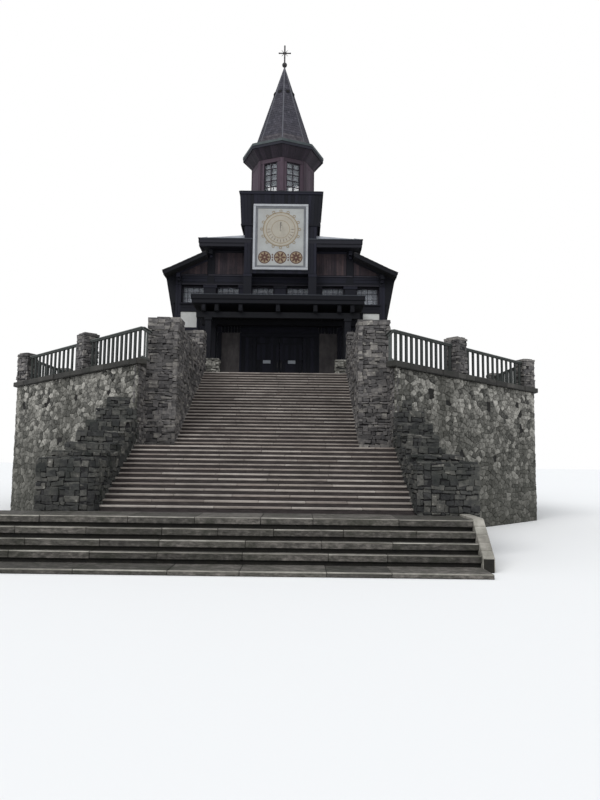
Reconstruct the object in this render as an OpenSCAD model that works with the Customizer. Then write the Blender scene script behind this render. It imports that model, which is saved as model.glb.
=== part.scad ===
// Small timber chapel with a belfry and an octagonal spire, on a stone terrace with a monumental stair.
// Millimetres. X runs across the front, Y into the building, Z up from the ground.
// The origin lies on the ground, under the nosing at the head of the stair, on the axis of the chapel.

/* [Stair] */
// Height of one riser in both flights
riser = 155; // [145:1:165]
// Risers in the lower flight, up to the landing
lower_risers = 13; // [11:1:15]
// Risers in the upper flight
upper_risers = 24; // [22:1:26]
// Tread of the lower flight
lower_tread = 300; // [280:5:330]
// Tread of the upper flight
upper_tread = 284; // [274:2:294]
// Landing between the flights, nosing to nosing
landing_len = 1360; // [1200:20:1600]
// Half the width of the lower flight
lower_half = 4650; // [4500:10:4800]
// Half the width of the upper flight
upper_half = 3480; // [3400:10:3600]

/* [Base steps] */
// Risers between the kerb and the foot of the lower flight
base_risers = 4; // [3:1:5]
// Height of one base riser
base_riser = 270; // [240:5:300]
// Tread of the base steps
base_tread = 250; // [220:10:320]
// Thickness of a base slab, which overhangs a recessed riser
slab_t = 150; // [120:5:170]
// Height of the kerb on the ground
kerb_h = 100; // [60:10:150]
// Tread between the top base step and the foot of the lower flight
base_landing = 1860; // [1500:20:2100]
// Reach of the base steps to the left of the axis
base_left = 7900; // [6500:50:9000]
// Reach of the base steps to the right of the axis
base_right = 5850; // [5500:50:6300]

/* [Terrace] */
// Half the width of the terrace over its walls
terrace_half = 12560; // [12000:20:13400]
// Where the rear wall of the terrace ends
terrace_rear = 20000; // [18500:100:21000]
// Length of the splayed corner at the rear, along each side
rear_splay = 4500; // [3500:100:5500]
// Drop from the stair head to the terrace floor
floor_drop = 600; // [400:10:700]
// Thickness of the terrace walls
wall_t = 900; // [750:10:1000]
// Thickness of the ledge on top of the walls
coping_t = 200; // [150:10:260]
// Projection of the ledge beyond the walls
coping_out = 180; // [120:10:250]
// Width of a railing pier
pier_w = 620; // [500:10:650]
// Height of a railing pier over the ledge
pier_h = 1450; // [1400:10:1600]
// Height of the middle piers of the front railings
tall_pier_h = 1600; // [1450:10:1800]
// Height of the railing over the ledge
rail_h = 1270; // [1100:10:1300]

/* [Stair walls] */
// Width of the wall beside the lower flight, on the left
cheek_left = 1650; // [1500:10:1900]
// Width of the wall beside the lower flight, on the right
cheek_right = 1750; // [1500:10:1900]
// Width of the walls beside the upper flight
upper_cheek_w = 880; // [700:10:1000]
// Height of the piers at the stair head, over the head
head_pier_h = 1870; // [1600:10:2000]
// Height of the tall piers at the landing, over the stair head
landing_pier_h = 1200; // [1000:10:1400]

/* [Chapel] */
// Front face of the chapel, behind the stair head
front_y = 4800; // [4750:10:4900]
// Length of the chapel over its end walls
chapel_len = 12000; // [11400:100:12600]
// Half the width of the chapel over its walls
body_half = 5950; // [5900:10:6000]
// Thickness of the walls
body_t = 400; // [300:10:450]
// Height of the plastered walls over the chapel floor
plaster_h = 4100; // [4000:10:4200]
// Height of the beam under the windows
sill_beam_h = 520; // [400:10:560]
// Height of the windows
window_h = 1030; // [900:10:1060]
// Width of one front window
window_w = 1300; // [1150:10:1350]
// Width of a corner post, seen from the front
corner_post = 325; // [250:5:400]
// Half the width of the doorway
door_half = 1300; // [1150:10:1350]
// Height of the doorway
door_h = 2700; // [2500:10:2800]
// Thickness of a door leaf
leaf_t = 70; // [55:1:80]
// Gap between the door leaves
door_gap = 16; // [14:1:20]

/* [Roofs] */
// Half the width of the nave, which rises over the aisle roofs
nave_half = 4150; // [4050:10:4250]
// Height of the gable over the windows, up to the main roof
gable_h = 2040; // [1980:10:2100]
// Overhang of the main roof beyond the nave
main_over = 400; // [300:10:500]
// Height of the edge of the main roof
main_edge = 470; // [400:10:520]
// Rise of the main roof from its edge to its ridge
main_rise = 520; // [400:10:600]
// Overhang of the roofs at the ends
roof_over = 700; // [640:10:720]
// Overhang of the aisle roofs beyond the side walls
eaves_over = 570; // [450:10:700]
// Thickness of the aisle roofs, measured upright
aisle_roof_t = 230; // [200:5:250]

/* [Portico] */
// Front edge of the portico roof, behind the stair head
portico_y = 1900; // [1850:10:2000]
// Half the width of the portico roof
portico_half = 4480; // [4400:10:4550]
// Underside of the joists over the chapel floor
joist_z = 3500; // [3450:10:3550]
// Height of the joists
joist_h = 400; // [350:10:420]
// Height of the edge of the portico roof
portico_edge = 470; // [400:10:480]
// Width of a portico post
post_w = 320; // [260:10:380]
// Height of the stone blocks under the front posts
block_h = 980; // [900:10:1050]

/* [Belfry and spire] */
// Half the width of the belfry shaft
belfry_half = 2020; // [1960:10:2080]
// Front face of the belfry, behind the stair head
belfry_y = 4080; // [4050:10:4090]
// Depth of the belfry
belfry_depth = 4340; // [4200:20:4500]
// Height of the belfry up to its drip edge
belfry_low_h = 2780; // [2650:10:2900]
// Height of the belfry above its drip edge
belfry_high_h = 1970; // [1850:10:2050]
// How far the belfry spreads at its top, each side
belfry_spread = 290; // [250:5:330]
// Half the width of the sundial panel with its frame
panel_half = 1530; // [1450:10:1600]
// Height of the sundial panel with its frame
panel_h = 3760; // [3600:10:3850]
// Corner radius of the octagonal lantern
lantern_r = 1850; // [1750:10:1900]
// Height of the lantern
lantern_h = 2790; // [2700:10:2900]
// Corner radius of the spire at its eaves
eaves_r = 2400; // [2300:10:2500]
// Height of the spire over its eaves
spire_h = 6080; // [5800:10:6300]

/* [Hidden] */
$fn = 48;

// Width of a joint between like pieces of one node
joint = 0.3;

foot_z = kerb_h + base_risers * base_riser;
landing_z = foot_z + lower_risers * riser;
head_z = landing_z + upper_risers * riser;
terrace_z = head_z - floor_drop;
upper_y0 = -(upper_risers - 1) * upper_tread;
landing_y = upper_y0 - landing_len;
lower_y0 = landing_y - (lower_risers - 1) * lower_tread;
cheek_y = lower_y0 - 400;
base_y = lower_y0 - base_landing;
kerb_y = base_y - (base_risers - 1) * base_tread - 1000;
head_back = 400;
splay_y = landing_y + 290;
front_corner_y = splay_y + terrace_half - lower_half;
cheek_out = upper_half + upper_cheek_w;
landing_pier_len = 1200;
pier_batter = 380;
cheek_corner = 400;

chapel_back = front_y + chapel_len;
main_half = nave_half + main_over;
eaves_half = body_half + eaves_over;
sill_z = head_z + plaster_h + sill_beam_h;
window_top = sill_z + window_h;
soffit_z = window_top + gable_h;
aisle_slope = 0.478;
aisle_drop = 290;
roof_y0 = front_y - roof_over;
roof_y1 = chapel_back + roof_over;

joist_top = joist_z + joist_h;
belfry_mid = belfry_y + belfry_depth / 2;
belfry_back = belfry_y + belfry_depth;
belfry_wall = 200;
belfry_z = window_top + 500;
drip_z = belfry_z + belfry_low_h;
lantern_z = drip_z + belfry_high_h;
spire_z = lantern_z + lantern_h;
spire_top = spire_z + spire_h;

stone = [0.46, 0.44, 0.41];
dark_stone = [0.36, 0.35, 0.36];
step_stone = [0.52, 0.49, 0.46];
timber = [0.13, 0.11, 0.11];
red_timber = [0.27, 0.17, 0.15];
plaster = [0.85, 0.85, 0.82];
grey_wood = [0.42, 0.43, 0.41];
sheet_roof = [0.24, 0.23, 0.23];
pale_glass = [0.75, 0.77, 0.78];

// A box from one corner to the other
module box(a, b) {
    translate(a) cube(b - a);
}

// An outline in Y and Z, run along X from x0 to x1
module along_x(x0, x1) {
    translate([x0, 0, 0]) rotate([90, 0, 90]) linear_extrude(x1 - x0) children();
}

// An outline in X and Z, run along Y from y0 to y1
module along_y(y0, y1) {
    translate([0, y1, 0]) rotate([90, 0, 0]) linear_extrude(y1 - y0) children();
}

// An outline in X and Y, raised from z0 to z1
module raised(z0, z1) {
    translate([0, 0, z0]) linear_extrude(z1 - z0) children();
}

// The right-hand shape and its mirror image on the left
module both_sides() {
    children();
    mirror([1, 0, 0]) children();
}

// Outline of a straight flight, two points a riser
function flight_points(y0, z0, tread, count) =
    [for (i = [0:count - 1]) each [[y0 + i * tread, z0 + i * riser], [y0 + i * tread, z0 + (i + 1) * riser]]];

// Corners of the terrace on the right, moved outwards by o
splay_tan = tan(22.5);
function splay_start(o) = [lower_half, splay_y - o * sqrt(2)];
function front_corner(o) = [terrace_half + o, front_corner_y - o * splay_tan];
function side_corner(o) = [terrace_half + o, terrace_rear - rear_splay + o * splay_tan];
function rear_corner(o) = [terrace_half - rear_splay + o * splay_tan, terrace_rear + o];
function flipped(p) = [-p[0], p[1]];

// Strips of the terrace outline between the offsets a and b
module front_band(a, b) {
    polygon([splay_start(a), front_corner(a), front_corner(b), splay_start(b)]);
}

module side_band(a, b) {
    polygon([front_corner(a), side_corner(a), side_corner(b), front_corner(b)]);
}

module corner_band(a, b) {
    polygon([side_corner(a), rear_corner(a), rear_corner(b), side_corner(b)]);
}

module rear_band(a, b) {
    polygon([rear_corner(a), flipped(rear_corner(a)), flipped(rear_corner(b)), rear_corner(b)]);
}

// One base step: an overhanging slab on a recessed riser
slab_nose = 60;
function base_step_points(i) =
    let(y = base_y - (base_risers - i) * base_tread, z = kerb_h + i * base_riser)
    [[y + slab_nose, z - base_riser], [y + slab_nose, z - slab_t], [y, z - slab_t], [y, z]];

module base_steps() {
    curb_w = 260;
    color(step_stone) {
        along_x(-base_left, base_right) polygon(concat([[kerb_y, 0], [kerb_y, kerb_h]],
            [for (i = [1:base_risers]) each base_step_points(i)],
            [[cheek_y, foot_z], [cheek_y, 0]]));
        along_x(base_right, base_right + curb_w)
            polygon([[kerb_y + 850, 0], [kerb_y + 850, 330], [base_y + 60, foot_z + 50],
                [cheek_y, foot_z + 50], [cheek_y, 0]]);
    }
}

module lower_flight() {
    color(step_stone) along_x(-lower_half, lower_half)
        polygon(concat([[cheek_y, 0], [cheek_y, foot_z]],
            flight_points(lower_y0, foot_z, lower_tread, lower_risers),
            [[upper_y0, landing_z], [upper_y0, 0]]));
}

module upper_flight() {
    color(step_stone) along_x(-upper_half, upper_half)
        polygon(concat([[upper_y0, 0]],
            flight_points(upper_y0, landing_z, upper_tread, upper_risers),
            [[head_back, head_z], [head_back, 0]]));
}

// Rubble walls beside the lower flight: distance up the flight, height over its foot, setback left and right
cheek_steps = [[0, 1490, 0, 0], [1000, 1700, 0, 200], [2000, 1980, 70, 480], [2900, 2400, 80, 510],
    [3700, 2830, 80, 540]];
wedge_steps = [[0, 3300, 250, 700], [280, 3730, 520, 1130]];

// Plan of one step of such a wall, round at the corner beside the stair
module cheek_plan(y, w) {
    r = cheek_corner;
    polygon([[lower_half, y + r], [lower_half + r, y], [lower_half + w, y],
        [lower_half + w, splay_y + w], [lower_half, splay_y]]);
    translate([lower_half + r, y + r]) circle(r = r);
}

// The last steps are wedges against the terrace wall
module cheek_wedge(d, w) {
    polygon([[lower_half + d, splay_y + d], [lower_half + w, splay_y + d], [lower_half + w, splay_y + w]]);
}

module stair_wall(w, side) {
    for (step = cheek_steps) raised(0, foot_z + step[1])
        cheek_plan(cheek_y + step[0], w - step[2 + side]);
    for (step = wedge_steps) raised(0, foot_z + step[1])
        cheek_wedge(step[0], w - step[2 + side]);
}

module lower_stair_walls() {
    color(dark_stone) {
        mirror([1, 0, 0]) stair_wall(cheek_left, 0);
        stair_wall(cheek_right, 1);
    }
}

module upper_stair_walls() {
    head_pier_len = 900;
    color(dark_stone) both_sides() {
        box([upper_half, upper_y0 + landing_pier_len, 0], [cheek_out, head_back, head_z + 900]);
        box([upper_half, head_back - head_pier_len, 0], [cheek_out, head_back, head_z + head_pier_h]);
    }
}

// Piers at the landing, battered towards their top
module landing_piers() {
    color(dark_stone) both_sides()
        along_x(upper_half, lower_half) polygon([[upper_y0, 0], [upper_y0, landing_z + 900],
            [upper_y0 + pier_batter, head_z + landing_pier_h],
            [upper_y0 + landing_pier_len, head_z + landing_pier_h], [upper_y0 + landing_pier_len, 0]]);
}

// Terrace walls, splayed on both sides of the stair
module front_terrace_walls() {
    color(stone) both_sides() raised(0, terrace_z - coping_t) front_band(0, -wall_t);
}

module side_terrace_walls() {
    color(stone) both_sides() raised(0, terrace_z - coping_t) side_band(0, -wall_t);
}

module corner_terrace_walls() {
    color(stone) both_sides() raised(0, terrace_z - coping_t) corner_band(0, -wall_t);
}

module rear_terrace_wall() {
    color(stone) raised(0, terrace_z - coping_t) rear_band(0, -wall_t);
}

// Earth and paving inside the walls, with a notch for the stair
fill_right = [splay_start(-wall_t), front_corner(-wall_t), side_corner(-wall_t), rear_corner(-wall_t)];
notch_right = [[cheek_out, head_back], [cheek_out, upper_y0 + landing_pier_len],
    [lower_half, upper_y0 + landing_pier_len]];

module terrace_fill() {
    color([0.5, 0.47, 0.42]) raised(0, terrace_z)
        polygon(concat(fill_right, [for (i = [3:-1:0]) flipped(fill_right[i])],
            [for (i = [2:-1:0]) flipped(notch_right[i])], notch_right));
}

module coping() {
    color(dark_stone) raised(terrace_z - coping_t, terrace_z) {
        both_sides() {
            front_band(coping_out, -wall_t);
            side_band(coping_out, -wall_t);
            corner_band(coping_out, -wall_t);
        }
        rear_band(coping_out, -wall_t);
    }
}

// The railing stands on a line set in from the outer face
rail_in = 350;
mid_pier = 0.41;
front_line = [splay_start(-rail_in), front_corner(-rail_in)];
side_line = [front_corner(-rail_in), side_corner(-rail_in)];
corner_line = [side_corner(-rail_in), rear_corner(-rail_in)];
rear_line = [rear_corner(-rail_in), flipped(rear_corner(-rail_in))];
function on_line(l, t) = l[0] + (l[1] - l[0]) * t;
function along(l) = (l[1] - l[0]) / norm(l[1] - l[0]);
function turn_of(l) = atan2(l[1][1] - l[0][1], l[1][0] - l[0][0]);

// Outline of a pier with a rounded head
module pier_outline(h) {
    rise = 110;
    r = (pier_w * pier_w / 4 + rise * rise) / (2 * rise);
    intersection() {
        translate([-pier_w / 2, 0]) square([pier_w, h]);
        translate([0, h - r]) union() {
            circle(r = r);
            translate([-pier_w / 2, -h]) square([pier_w, h]);
        }
    }
}

module pier_at(p, turn, h = pier_h) {
    translate([p[0], p[1], terrace_z]) rotate([0, 0, turn]) intersection() {
        along_x(-pier_w / 2, pier_w / 2) pier_outline(h);
        along_y(-pier_w / 2, pier_w / 2) pier_outline(h);
    }
}

module railing_piers() {
    color(dark_stone) {
        both_sides() {
            pier_at(on_line(front_line, mid_pier), 45, tall_pier_h);
            pier_at(front_line[1], 22.5);
            for (t = [1 / 3, 2 / 3]) pier_at(on_line(side_line, t), 0);
            pier_at(side_line[1], 22.5);
            pier_at(corner_line[1], -22.5);
        }
        for (t = [1 / 3, 2 / 3]) pier_at(on_line(rear_line, t), 0);
    }
}

// One panel of railing from t0 to t1 on a line: two rails and flat balusters
baluster_w = 130;
rail_w = 110;
rail_t = 90;

module railing_bay(l, t0, t1, gap0, gap1, count) {
    p = on_line(l, t0) + along(l) * gap0;
    length = norm(on_line(l, t1) - p) - gap1;
    step = length / count;
    translate([p[0], p[1], terrace_z]) rotate([0, 0, turn_of(l)]) {
        box([0, -rail_w / 2, rail_h - rail_t], [length, rail_w / 2, rail_h]);
        box([0, -rail_w / 2, 60], [length, rail_w / 2, 60 + rail_t]);
        for (i = [0:count - 1]) translate([(i + 0.5) * step, 0, 0])
            box([-baluster_w / 2, -30, 0], [baluster_w / 2, 30, rail_h - rail_t / 2]);
    }
}

// Gap from a pier's centre to the panel beside it
beside_pier = pier_w / 2 + joint;
beside_turned = pier_w / 2 / cos(22.5) + rail_w / 2 * tan(22.5) + joint;

module front_railing() {
    color(grey_wood) both_sides() {
        railing_bay(front_line, 0, mid_pier, joint, beside_pier, 12);
        railing_bay(front_line, mid_pier, 1, beside_pier, beside_turned, 13);
    }
}

module side_railing() {
    color(grey_wood) both_sides() {
        railing_bay(side_line, 0, 1 / 3, beside_turned, beside_pier, 13);
        railing_bay(side_line, 1 / 3, 2 / 3, beside_pier, beside_pier, 13);
        railing_bay(side_line, 2 / 3, 1, beside_pier, beside_turned, 13);
    }
}

module rear_railing() {
    color(grey_wood) {
        both_sides() railing_bay(corner_line, 0, 1, beside_turned, beside_turned, 16);
        railing_bay(rear_line, 0, 1 / 3, beside_turned, beside_pier, 14);
        railing_bay(rear_line, 1 / 3, 2 / 3, beside_pier, beside_pier, 14);
        railing_bay(rear_line, 2 / 3, 1, beside_pier, beside_turned, 14);
    }
}

// Chapel body
module chapel_plinth() {
    color(stone) box([-body_half - 300, head_back, terrace_z], [body_half + 300, chapel_back + 300, head_z]);
}

door_zone = 2200;

module front_walls() {
    color(plaster) both_sides()
        box([door_zone, front_y, head_z], [body_half - corner_post, front_y + body_t, head_z + plaster_h]);
}

module door_jambs() {
    color(timber) both_sides()
        box([door_half, front_y, head_z], [door_zone, front_y + body_t, head_z + door_h]);
}

module front_wall_over() {
    color(timber) box([-door_zone, front_y, head_z + door_h],
        [door_zone, front_y + body_t, head_z + plaster_h]);
}

module side_walls() {
    color(plaster) both_sides()
        box([body_half - body_t, front_y + body_t, head_z],
            [body_half, chapel_back - body_t, head_z + plaster_h]);
}

module rear_wall() {
    x = body_half - corner_post;
    color(plaster) box([-x, chapel_back - body_t, head_z], [x, chapel_back, head_z + plaster_h]);
}

module sill_beams() {
    z0 = head_z + plaster_h;
    color(timber) {
        for (y = [front_y, chapel_back - body_t])
            box([corner_post - body_half, y, z0], [body_half - corner_post, y + body_t, sill_z]);
        both_sides() box([body_half - body_t, front_y + body_t + joint, z0],
            [body_half, chapel_back - body_t - joint, sill_z]);
    }
}

// Posts between the windows; the corner posts run down to the floor
front_windows = 6;
post_gap = (2 * (body_half - corner_post) - front_windows * window_w) / (front_windows - 1);
window_pitch = window_w + post_gap;
side_windows = 6;
side_pitch = (chapel_len - corner_post) / side_windows;

module post(x, y, w, d, foot = sill_z) {
    box([x - w / 2, y - d / 2, foot], [x + w / 2, y + d / 2, window_top]);
}

module window_posts() {
    color(timber) {
        for (y = [front_y + body_t / 2, chapel_back - body_t / 2]) {
            for (i = [1:front_windows - 1]) post((i - front_windows / 2) * window_pitch, y, post_gap, body_t);
            both_sides() post(body_half - corner_post / 2, y, corner_post, body_t, head_z);
        }
        both_sides() for (i = [1:side_windows - 1])
            post(body_half - body_t / 2, front_y + corner_post / 2 + i * side_pitch, body_t, post_gap);
    }
}

// One sheet of glass behind the posts of each wall
module window_glass() {
    glass_t = 20;
    x = body_half - body_t;
    color(pale_glass) {
        for (y = [front_y + body_t, chapel_back - body_t - glass_t])
            box([-x, y, sill_z], [x, y + glass_t, window_top]);
        both_sides() box([x - glass_t, front_y + body_t + glass_t + joint, sill_z],
            [x, chapel_back - body_t - glass_t - joint, window_top]);
    }
}

// Roof lines: top and underside of the aisle roof at x
function aisle_top(x) = soffit_z - aisle_drop - (x - nave_half) * aisle_slope;
function aisle_under(x) = aisle_top(x) - aisle_roof_t;
function wall_head(x) = aisle_under(x) - joint;

module gable_half() {
    polygon([[0, window_top], [body_half, window_top], [body_half, wall_head(body_half)],
        [nave_half, wall_head(nave_half)], [nave_half, soffit_z], [0, soffit_z]]);
}

module gable_outline() {
    gable_half();
    mirror([1, 0]) gable_half();
}

// Gables, with the posts that carry the main roof standing out in front
module gable_walls() {
    nave_post = 400;
    color(timber) difference() {
        union() {
            for (y = [front_y, chapel_back - body_t]) along_y(y, y + body_t) gable_outline();
            both_sides()
                box([nave_half - nave_post, front_y - 60, window_top], [nave_half, front_y, soffit_z]);
        }
        box([-belfry_half, front_y - 61, belfry_z], [belfry_half, front_y + body_t + 1, soffit_z + 1]);
    }
}

// Wall plates over the side windows, and the nave walls between the aisle roofs and the main roof
module wall_plates() {
    x0 = body_half - body_t;
    nave_t = 220;
    nave_foot = aisle_under(nave_half) - 250;
    color(timber) both_sides() along_y(front_y + body_t, chapel_back - body_t) {
        polygon([[x0, window_top], [body_half, window_top], [body_half, wall_head(body_half)],
            [x0, wall_head(x0)]]);
        translate([nave_half - nave_t, nave_foot]) square([nave_t - joint, soffit_z - nave_foot]);
    }
}

// Struts that lean out from the walls to the eaves
module eaves_brackets() {
    bracket_w = 160;
    foot = head_z + 3150;
    step = (chapel_len - bracket_w) / side_windows;
    color(timber) both_sides() for (i = [0:side_windows])
        along_y(front_y + i * step, front_y + i * step + bracket_w)
            polygon([[body_half, foot], [eaves_half - 20, wall_head(eaves_half - 20)],
                [body_half, wall_head(body_half)]]);
}

module aisle_roofs() {
    color(sheet_roof) both_sides() along_y(roof_y0, roof_y1)
        polygon([[nave_half, aisle_under(nave_half)], [nave_half, aisle_top(nave_half)],
            [eaves_half, aisle_top(eaves_half)], [eaves_half, aisle_under(eaves_half)]]);
}

// Main roof: a low roof on a deep edge, hipped steeply at its ends, open where the belfry goes through
module main_roof() {
    eaves_top = soffit_z + main_edge;
    hip_run = main_rise;
    color(sheet_roof) difference() {
        intersection() {
            along_y(roof_y0, roof_y1)
                polygon([[-main_half, soffit_z], [main_half, soffit_z], [main_half, eaves_top],
                    [0, eaves_top + main_rise], [-main_half, eaves_top]]);
            along_x(-main_half, main_half)
                polygon([[roof_y0, soffit_z], [roof_y0, eaves_top],
                    [roof_y0 + hip_run, eaves_top + main_rise], [roof_y1 - hip_run, eaves_top + main_rise],
                    [roof_y1, eaves_top], [roof_y1, soffit_z]]);
        }
        box([-belfry_half, 0, soffit_z - 1], [belfry_half, belfry_back, eaves_top + main_rise + 1]);
    }
}

// Portico
front_post_y = portico_y + 400;
back_post_y = front_y - 700;
portico_post_x = 3650;

module portico_blocks() {
    color(stone) both_sides() box([3040, portico_y, head_z], [4300, portico_y + 700, head_z + block_h]);
}

module portico_posts() {
    beam_z = head_z + joist_z - 300;
    color(timber) both_sides() {
        box([portico_post_x - post_w / 2, front_post_y - post_w / 2, head_z + block_h],
            [portico_post_x + post_w / 2, front_post_y + post_w / 2, beam_z]);
        box([portico_post_x - post_w / 2, back_post_y - post_w / 2, head_z],
            [portico_post_x + post_w / 2, back_post_y + post_w / 2, beam_z]);
    }
}

module portico_beams() {
    color(timber) for (y = [front_post_y, back_post_y])
        box([-portico_half + 200, y - post_w / 2, head_z + joist_z - 300],
            [portico_half - 200, y + post_w / 2, head_z + joist_z]);
}

joist_x = [-3880, -3200, -1950, 0, 1950, 3200, 3880];

module portico_joists() {
    joist_w = 220;
    color(timber) for (x = joist_x) translate([x - joist_w / 2, 0, head_z])
        box([0, portico_y + 80, joist_z], [joist_w, front_y, joist_top]);
}

module portico_roof() {
    color(sheet_roof) box([-portico_half, portico_y, head_z + joist_top],
        [portico_half, front_y, head_z + joist_top + portico_edge]);
}

// Doors: two leaves flush with the outer face, on strap hinges whose knuckles stand just in front of it
leaf_side = 8;
leaf_end = 10;
knuckle_r = 10;
hinge_x = door_half - leaf_side;
hinge_y = front_y - knuckle_r - 5;

module door_leaf() {
    strap_w = 70;
    strap_t = 10;
    strap_len = 700;
    box([door_gap / 2, front_y, head_z + leaf_end], [hinge_x, front_y + leaf_t, head_z + door_h - leaf_end]);
    for (z = [0.14, 0.5, 0.86]) translate([0, 0, head_z + z * door_h]) {
        translate([hinge_x, hinge_y, -strap_w]) cylinder(h = 2 * strap_w, r = knuckle_r);
        box([hinge_x - strap_len, front_y - strap_t, -strap_w / 2], [hinge_x - 0.5, front_y, strap_w / 2]);
    }
}

module door_left() {
    color(timber) mirror([1, 0, 0]) door_leaf();
}

module door_right() {
    color(timber) door_leaf();
}

// Belfry: a boarded shaft through the front of the roof, wider above its drip edge
module belfry_outline() {
    drip = 180;
    top_half = belfry_half + belfry_spread;
    polygon([[-belfry_half, belfry_z], [belfry_half, belfry_z], [belfry_half, drip_z],
        [belfry_half + drip, drip_z], [top_half, lantern_z], [-top_half, lantern_z],
        [-belfry_half - drip, drip_z], [-belfry_half, drip_z]]);
}

module belfry() {
    deck = 150;
    color(red_timber) difference() {
        along_y(belfry_y, belfry_back) belfry_outline();
        box([-belfry_half + belfry_wall, belfry_y + belfry_wall, belfry_z + deck],
            [belfry_half - belfry_wall, front_y + 1, lantern_z - deck]);
        box([-belfry_half + belfry_wall, front_y, head_z],
            [belfry_half - belfry_wall, belfry_back - belfry_wall, lantern_z - deck]);
    }
}

module belfry_legs() {
    leg_w = 420;
    color(red_timber) both_sides()
        box([belfry_half - leg_w, belfry_y, head_z + joist_top + portico_edge],
            [belfry_half, belfry_y + leg_w, belfry_z]);
}

module sundial_panel() {
    panel_t = 60;
    z0 = belfry_z + 220;
    color(plaster) box([-panel_half, belfry_y - panel_t, z0], [panel_half, belfry_y, z0 + panel_h]);
}

// Lantern: eight sides between a floor and a head ring, glazed on the two front and the two rear sides
lantern_floor = 200;
lantern_head = 800;
lantern_wall = 150;
lantern_window = 820;
lantern_open = [1, 2, 5, 6];
lantern_apothem = lantern_r * cos(22.5);

module octagon(z0, z1, r) {
    translate([0, belfry_mid, z0]) cylinder(h = z1 - z0, r = r, $fn = 8);
}

module lantern_posts() {
    z0 = lantern_z + lantern_floor + joint;
    z1 = spire_z - lantern_head - joint;
    color(red_timber) difference() {
        octagon(z0, z1, lantern_r);
        octagon(z0 - 1, z1 + 1, lantern_r - lantern_wall / cos(22.5));
        for (i = lantern_open) translate([0, belfry_mid, 0]) rotate([0, 0, 22.5 + 45 * i])
            box([0, -lantern_window / 2, z0 - 1], [lantern_r, lantern_window / 2, z1 + 1]);
    }
}

// Floor and head of the lantern; a boarded cove springs from a band on the head out to the eaves
module lantern_rings() {
    cove_r = lantern_apothem;
    cove_h = 560;
    cove_out = eaves_r * cos(22.5) - 60;
    color(red_timber) {
        octagon(lantern_z, lantern_z + lantern_floor, lantern_r);
        difference() {
            translate([0, belfry_mid, spire_z]) intersection_for(i = [0:3])
                rotate([0, 0, 22.5 + 45 * i]) along_y(-2 * eaves_r, 2 * eaves_r)
                    polygon([[-cove_out, 0], [-cove_r, -cove_h], [-cove_r, -lantern_head],
                        [cove_r, -lantern_head], [cove_r, -cove_h], [cove_out, 0]]);
            octagon(spire_z - lantern_head - 1, spire_z + 1, lantern_r - lantern_wall / cos(22.5));
        }
    }
}

module lantern_glass() {
    glass_t = 20;
    glass_w = lantern_window + 160;
    x1 = lantern_apothem - lantern_wall - joint;
    color(pale_glass) for (i = lantern_open) translate([0, belfry_mid, 0]) rotate([0, 0, 22.5 + 45 * i])
        translate([x1 - glass_t, -glass_w / 2, lantern_z + lantern_floor])
            cube([glass_t, glass_w, lantern_h - lantern_floor - lantern_head]);
}

// Spire: four crossed gables share one flared profile, which gives eight even faces
spire_eaves = eaves_r * cos(22.5);
spire_break = 1640;
break_z = 600;
vent_z = 4210;

// A small vent with a pointed head, on each face
module spire_vent() {
    x = spire_break * (spire_h - vent_z) / (spire_h - break_z);
    translate([x - 250, 0, vent_z]) rotate([90, 0, 90]) linear_extrude(310)
        polygon([[-70, -90], [70, -90], [70, 40], [0, 110], [-70, 40]]);
}

module spire() {
    color(sheet_roof) translate([0, belfry_mid, spire_z]) {
        intersection_for(i = [0:3]) rotate([0, 0, 22.5 + 45 * i]) along_y(-2 * eaves_r, 2 * eaves_r)
            polygon([[-spire_eaves, 0], [-spire_eaves, 260], [-spire_break, break_z], [0, spire_h],
                [spire_break, break_z], [spire_eaves, 260], [spire_eaves, 0]]);
        for (i = [0:7]) rotate([0, 0, 22.5 + 45 * i]) spire_vent();
    }
}

module finial() {
    rod_r = 45;
    ball_r = 150;
    arm_half = 340;
    color([0.3, 0.3, 0.3]) translate([0, belfry_mid, spire_top]) {
        translate([0, 0, ball_r]) cylinder(h = 1410 - ball_r, r = rod_r);
        translate([0, 0, ball_r - joint]) sphere(r = ball_r);
        translate([-arm_half, 0, 920]) rotate([0, 90, 0]) cylinder(h = 2 * arm_half, r = rod_r - 10);
    }
}

base_steps();
lower_flight();
upper_flight();
lower_stair_walls();
upper_stair_walls();
landing_piers();
front_terrace_walls();
side_terrace_walls();
corner_terrace_walls();
rear_terrace_wall();
terrace_fill();
coping();
railing_piers();
front_railing();
side_railing();
rear_railing();
chapel_plinth();
front_walls();
door_jambs();
front_wall_over();
side_walls();
rear_wall();
sill_beams();
window_posts();
window_glass();
gable_walls();
wall_plates();
eaves_brackets();
aisle_roofs();
main_roof();
portico_blocks();
portico_posts();
portico_beams();
portico_joists();
portico_roof();
door_left();
door_right();
belfry();
belfry_legs();
sundial_panel();
lantern_posts();
lantern_rings();
lantern_glass();
spire();
finial();
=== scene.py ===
import bmesh
import bpy
import math
import random
from mathutils import Matrix, Vector


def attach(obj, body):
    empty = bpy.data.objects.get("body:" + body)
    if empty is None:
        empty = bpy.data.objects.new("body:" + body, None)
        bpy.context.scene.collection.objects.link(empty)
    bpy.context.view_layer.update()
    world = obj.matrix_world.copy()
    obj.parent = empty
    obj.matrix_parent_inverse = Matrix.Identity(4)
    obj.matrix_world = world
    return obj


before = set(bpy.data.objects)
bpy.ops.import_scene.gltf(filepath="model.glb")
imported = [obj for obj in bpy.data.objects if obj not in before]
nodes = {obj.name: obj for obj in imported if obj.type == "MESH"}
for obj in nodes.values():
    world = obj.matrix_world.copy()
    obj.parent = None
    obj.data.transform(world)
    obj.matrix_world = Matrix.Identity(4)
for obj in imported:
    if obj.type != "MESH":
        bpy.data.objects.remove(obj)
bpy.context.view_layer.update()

# ---------------------------------------------------------------- sizes from the CAD model, in metres
HEAD = 6.915
TERRACE = HEAD - 0.6
LANDING = 3.195
FOOT = 1.18
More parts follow.
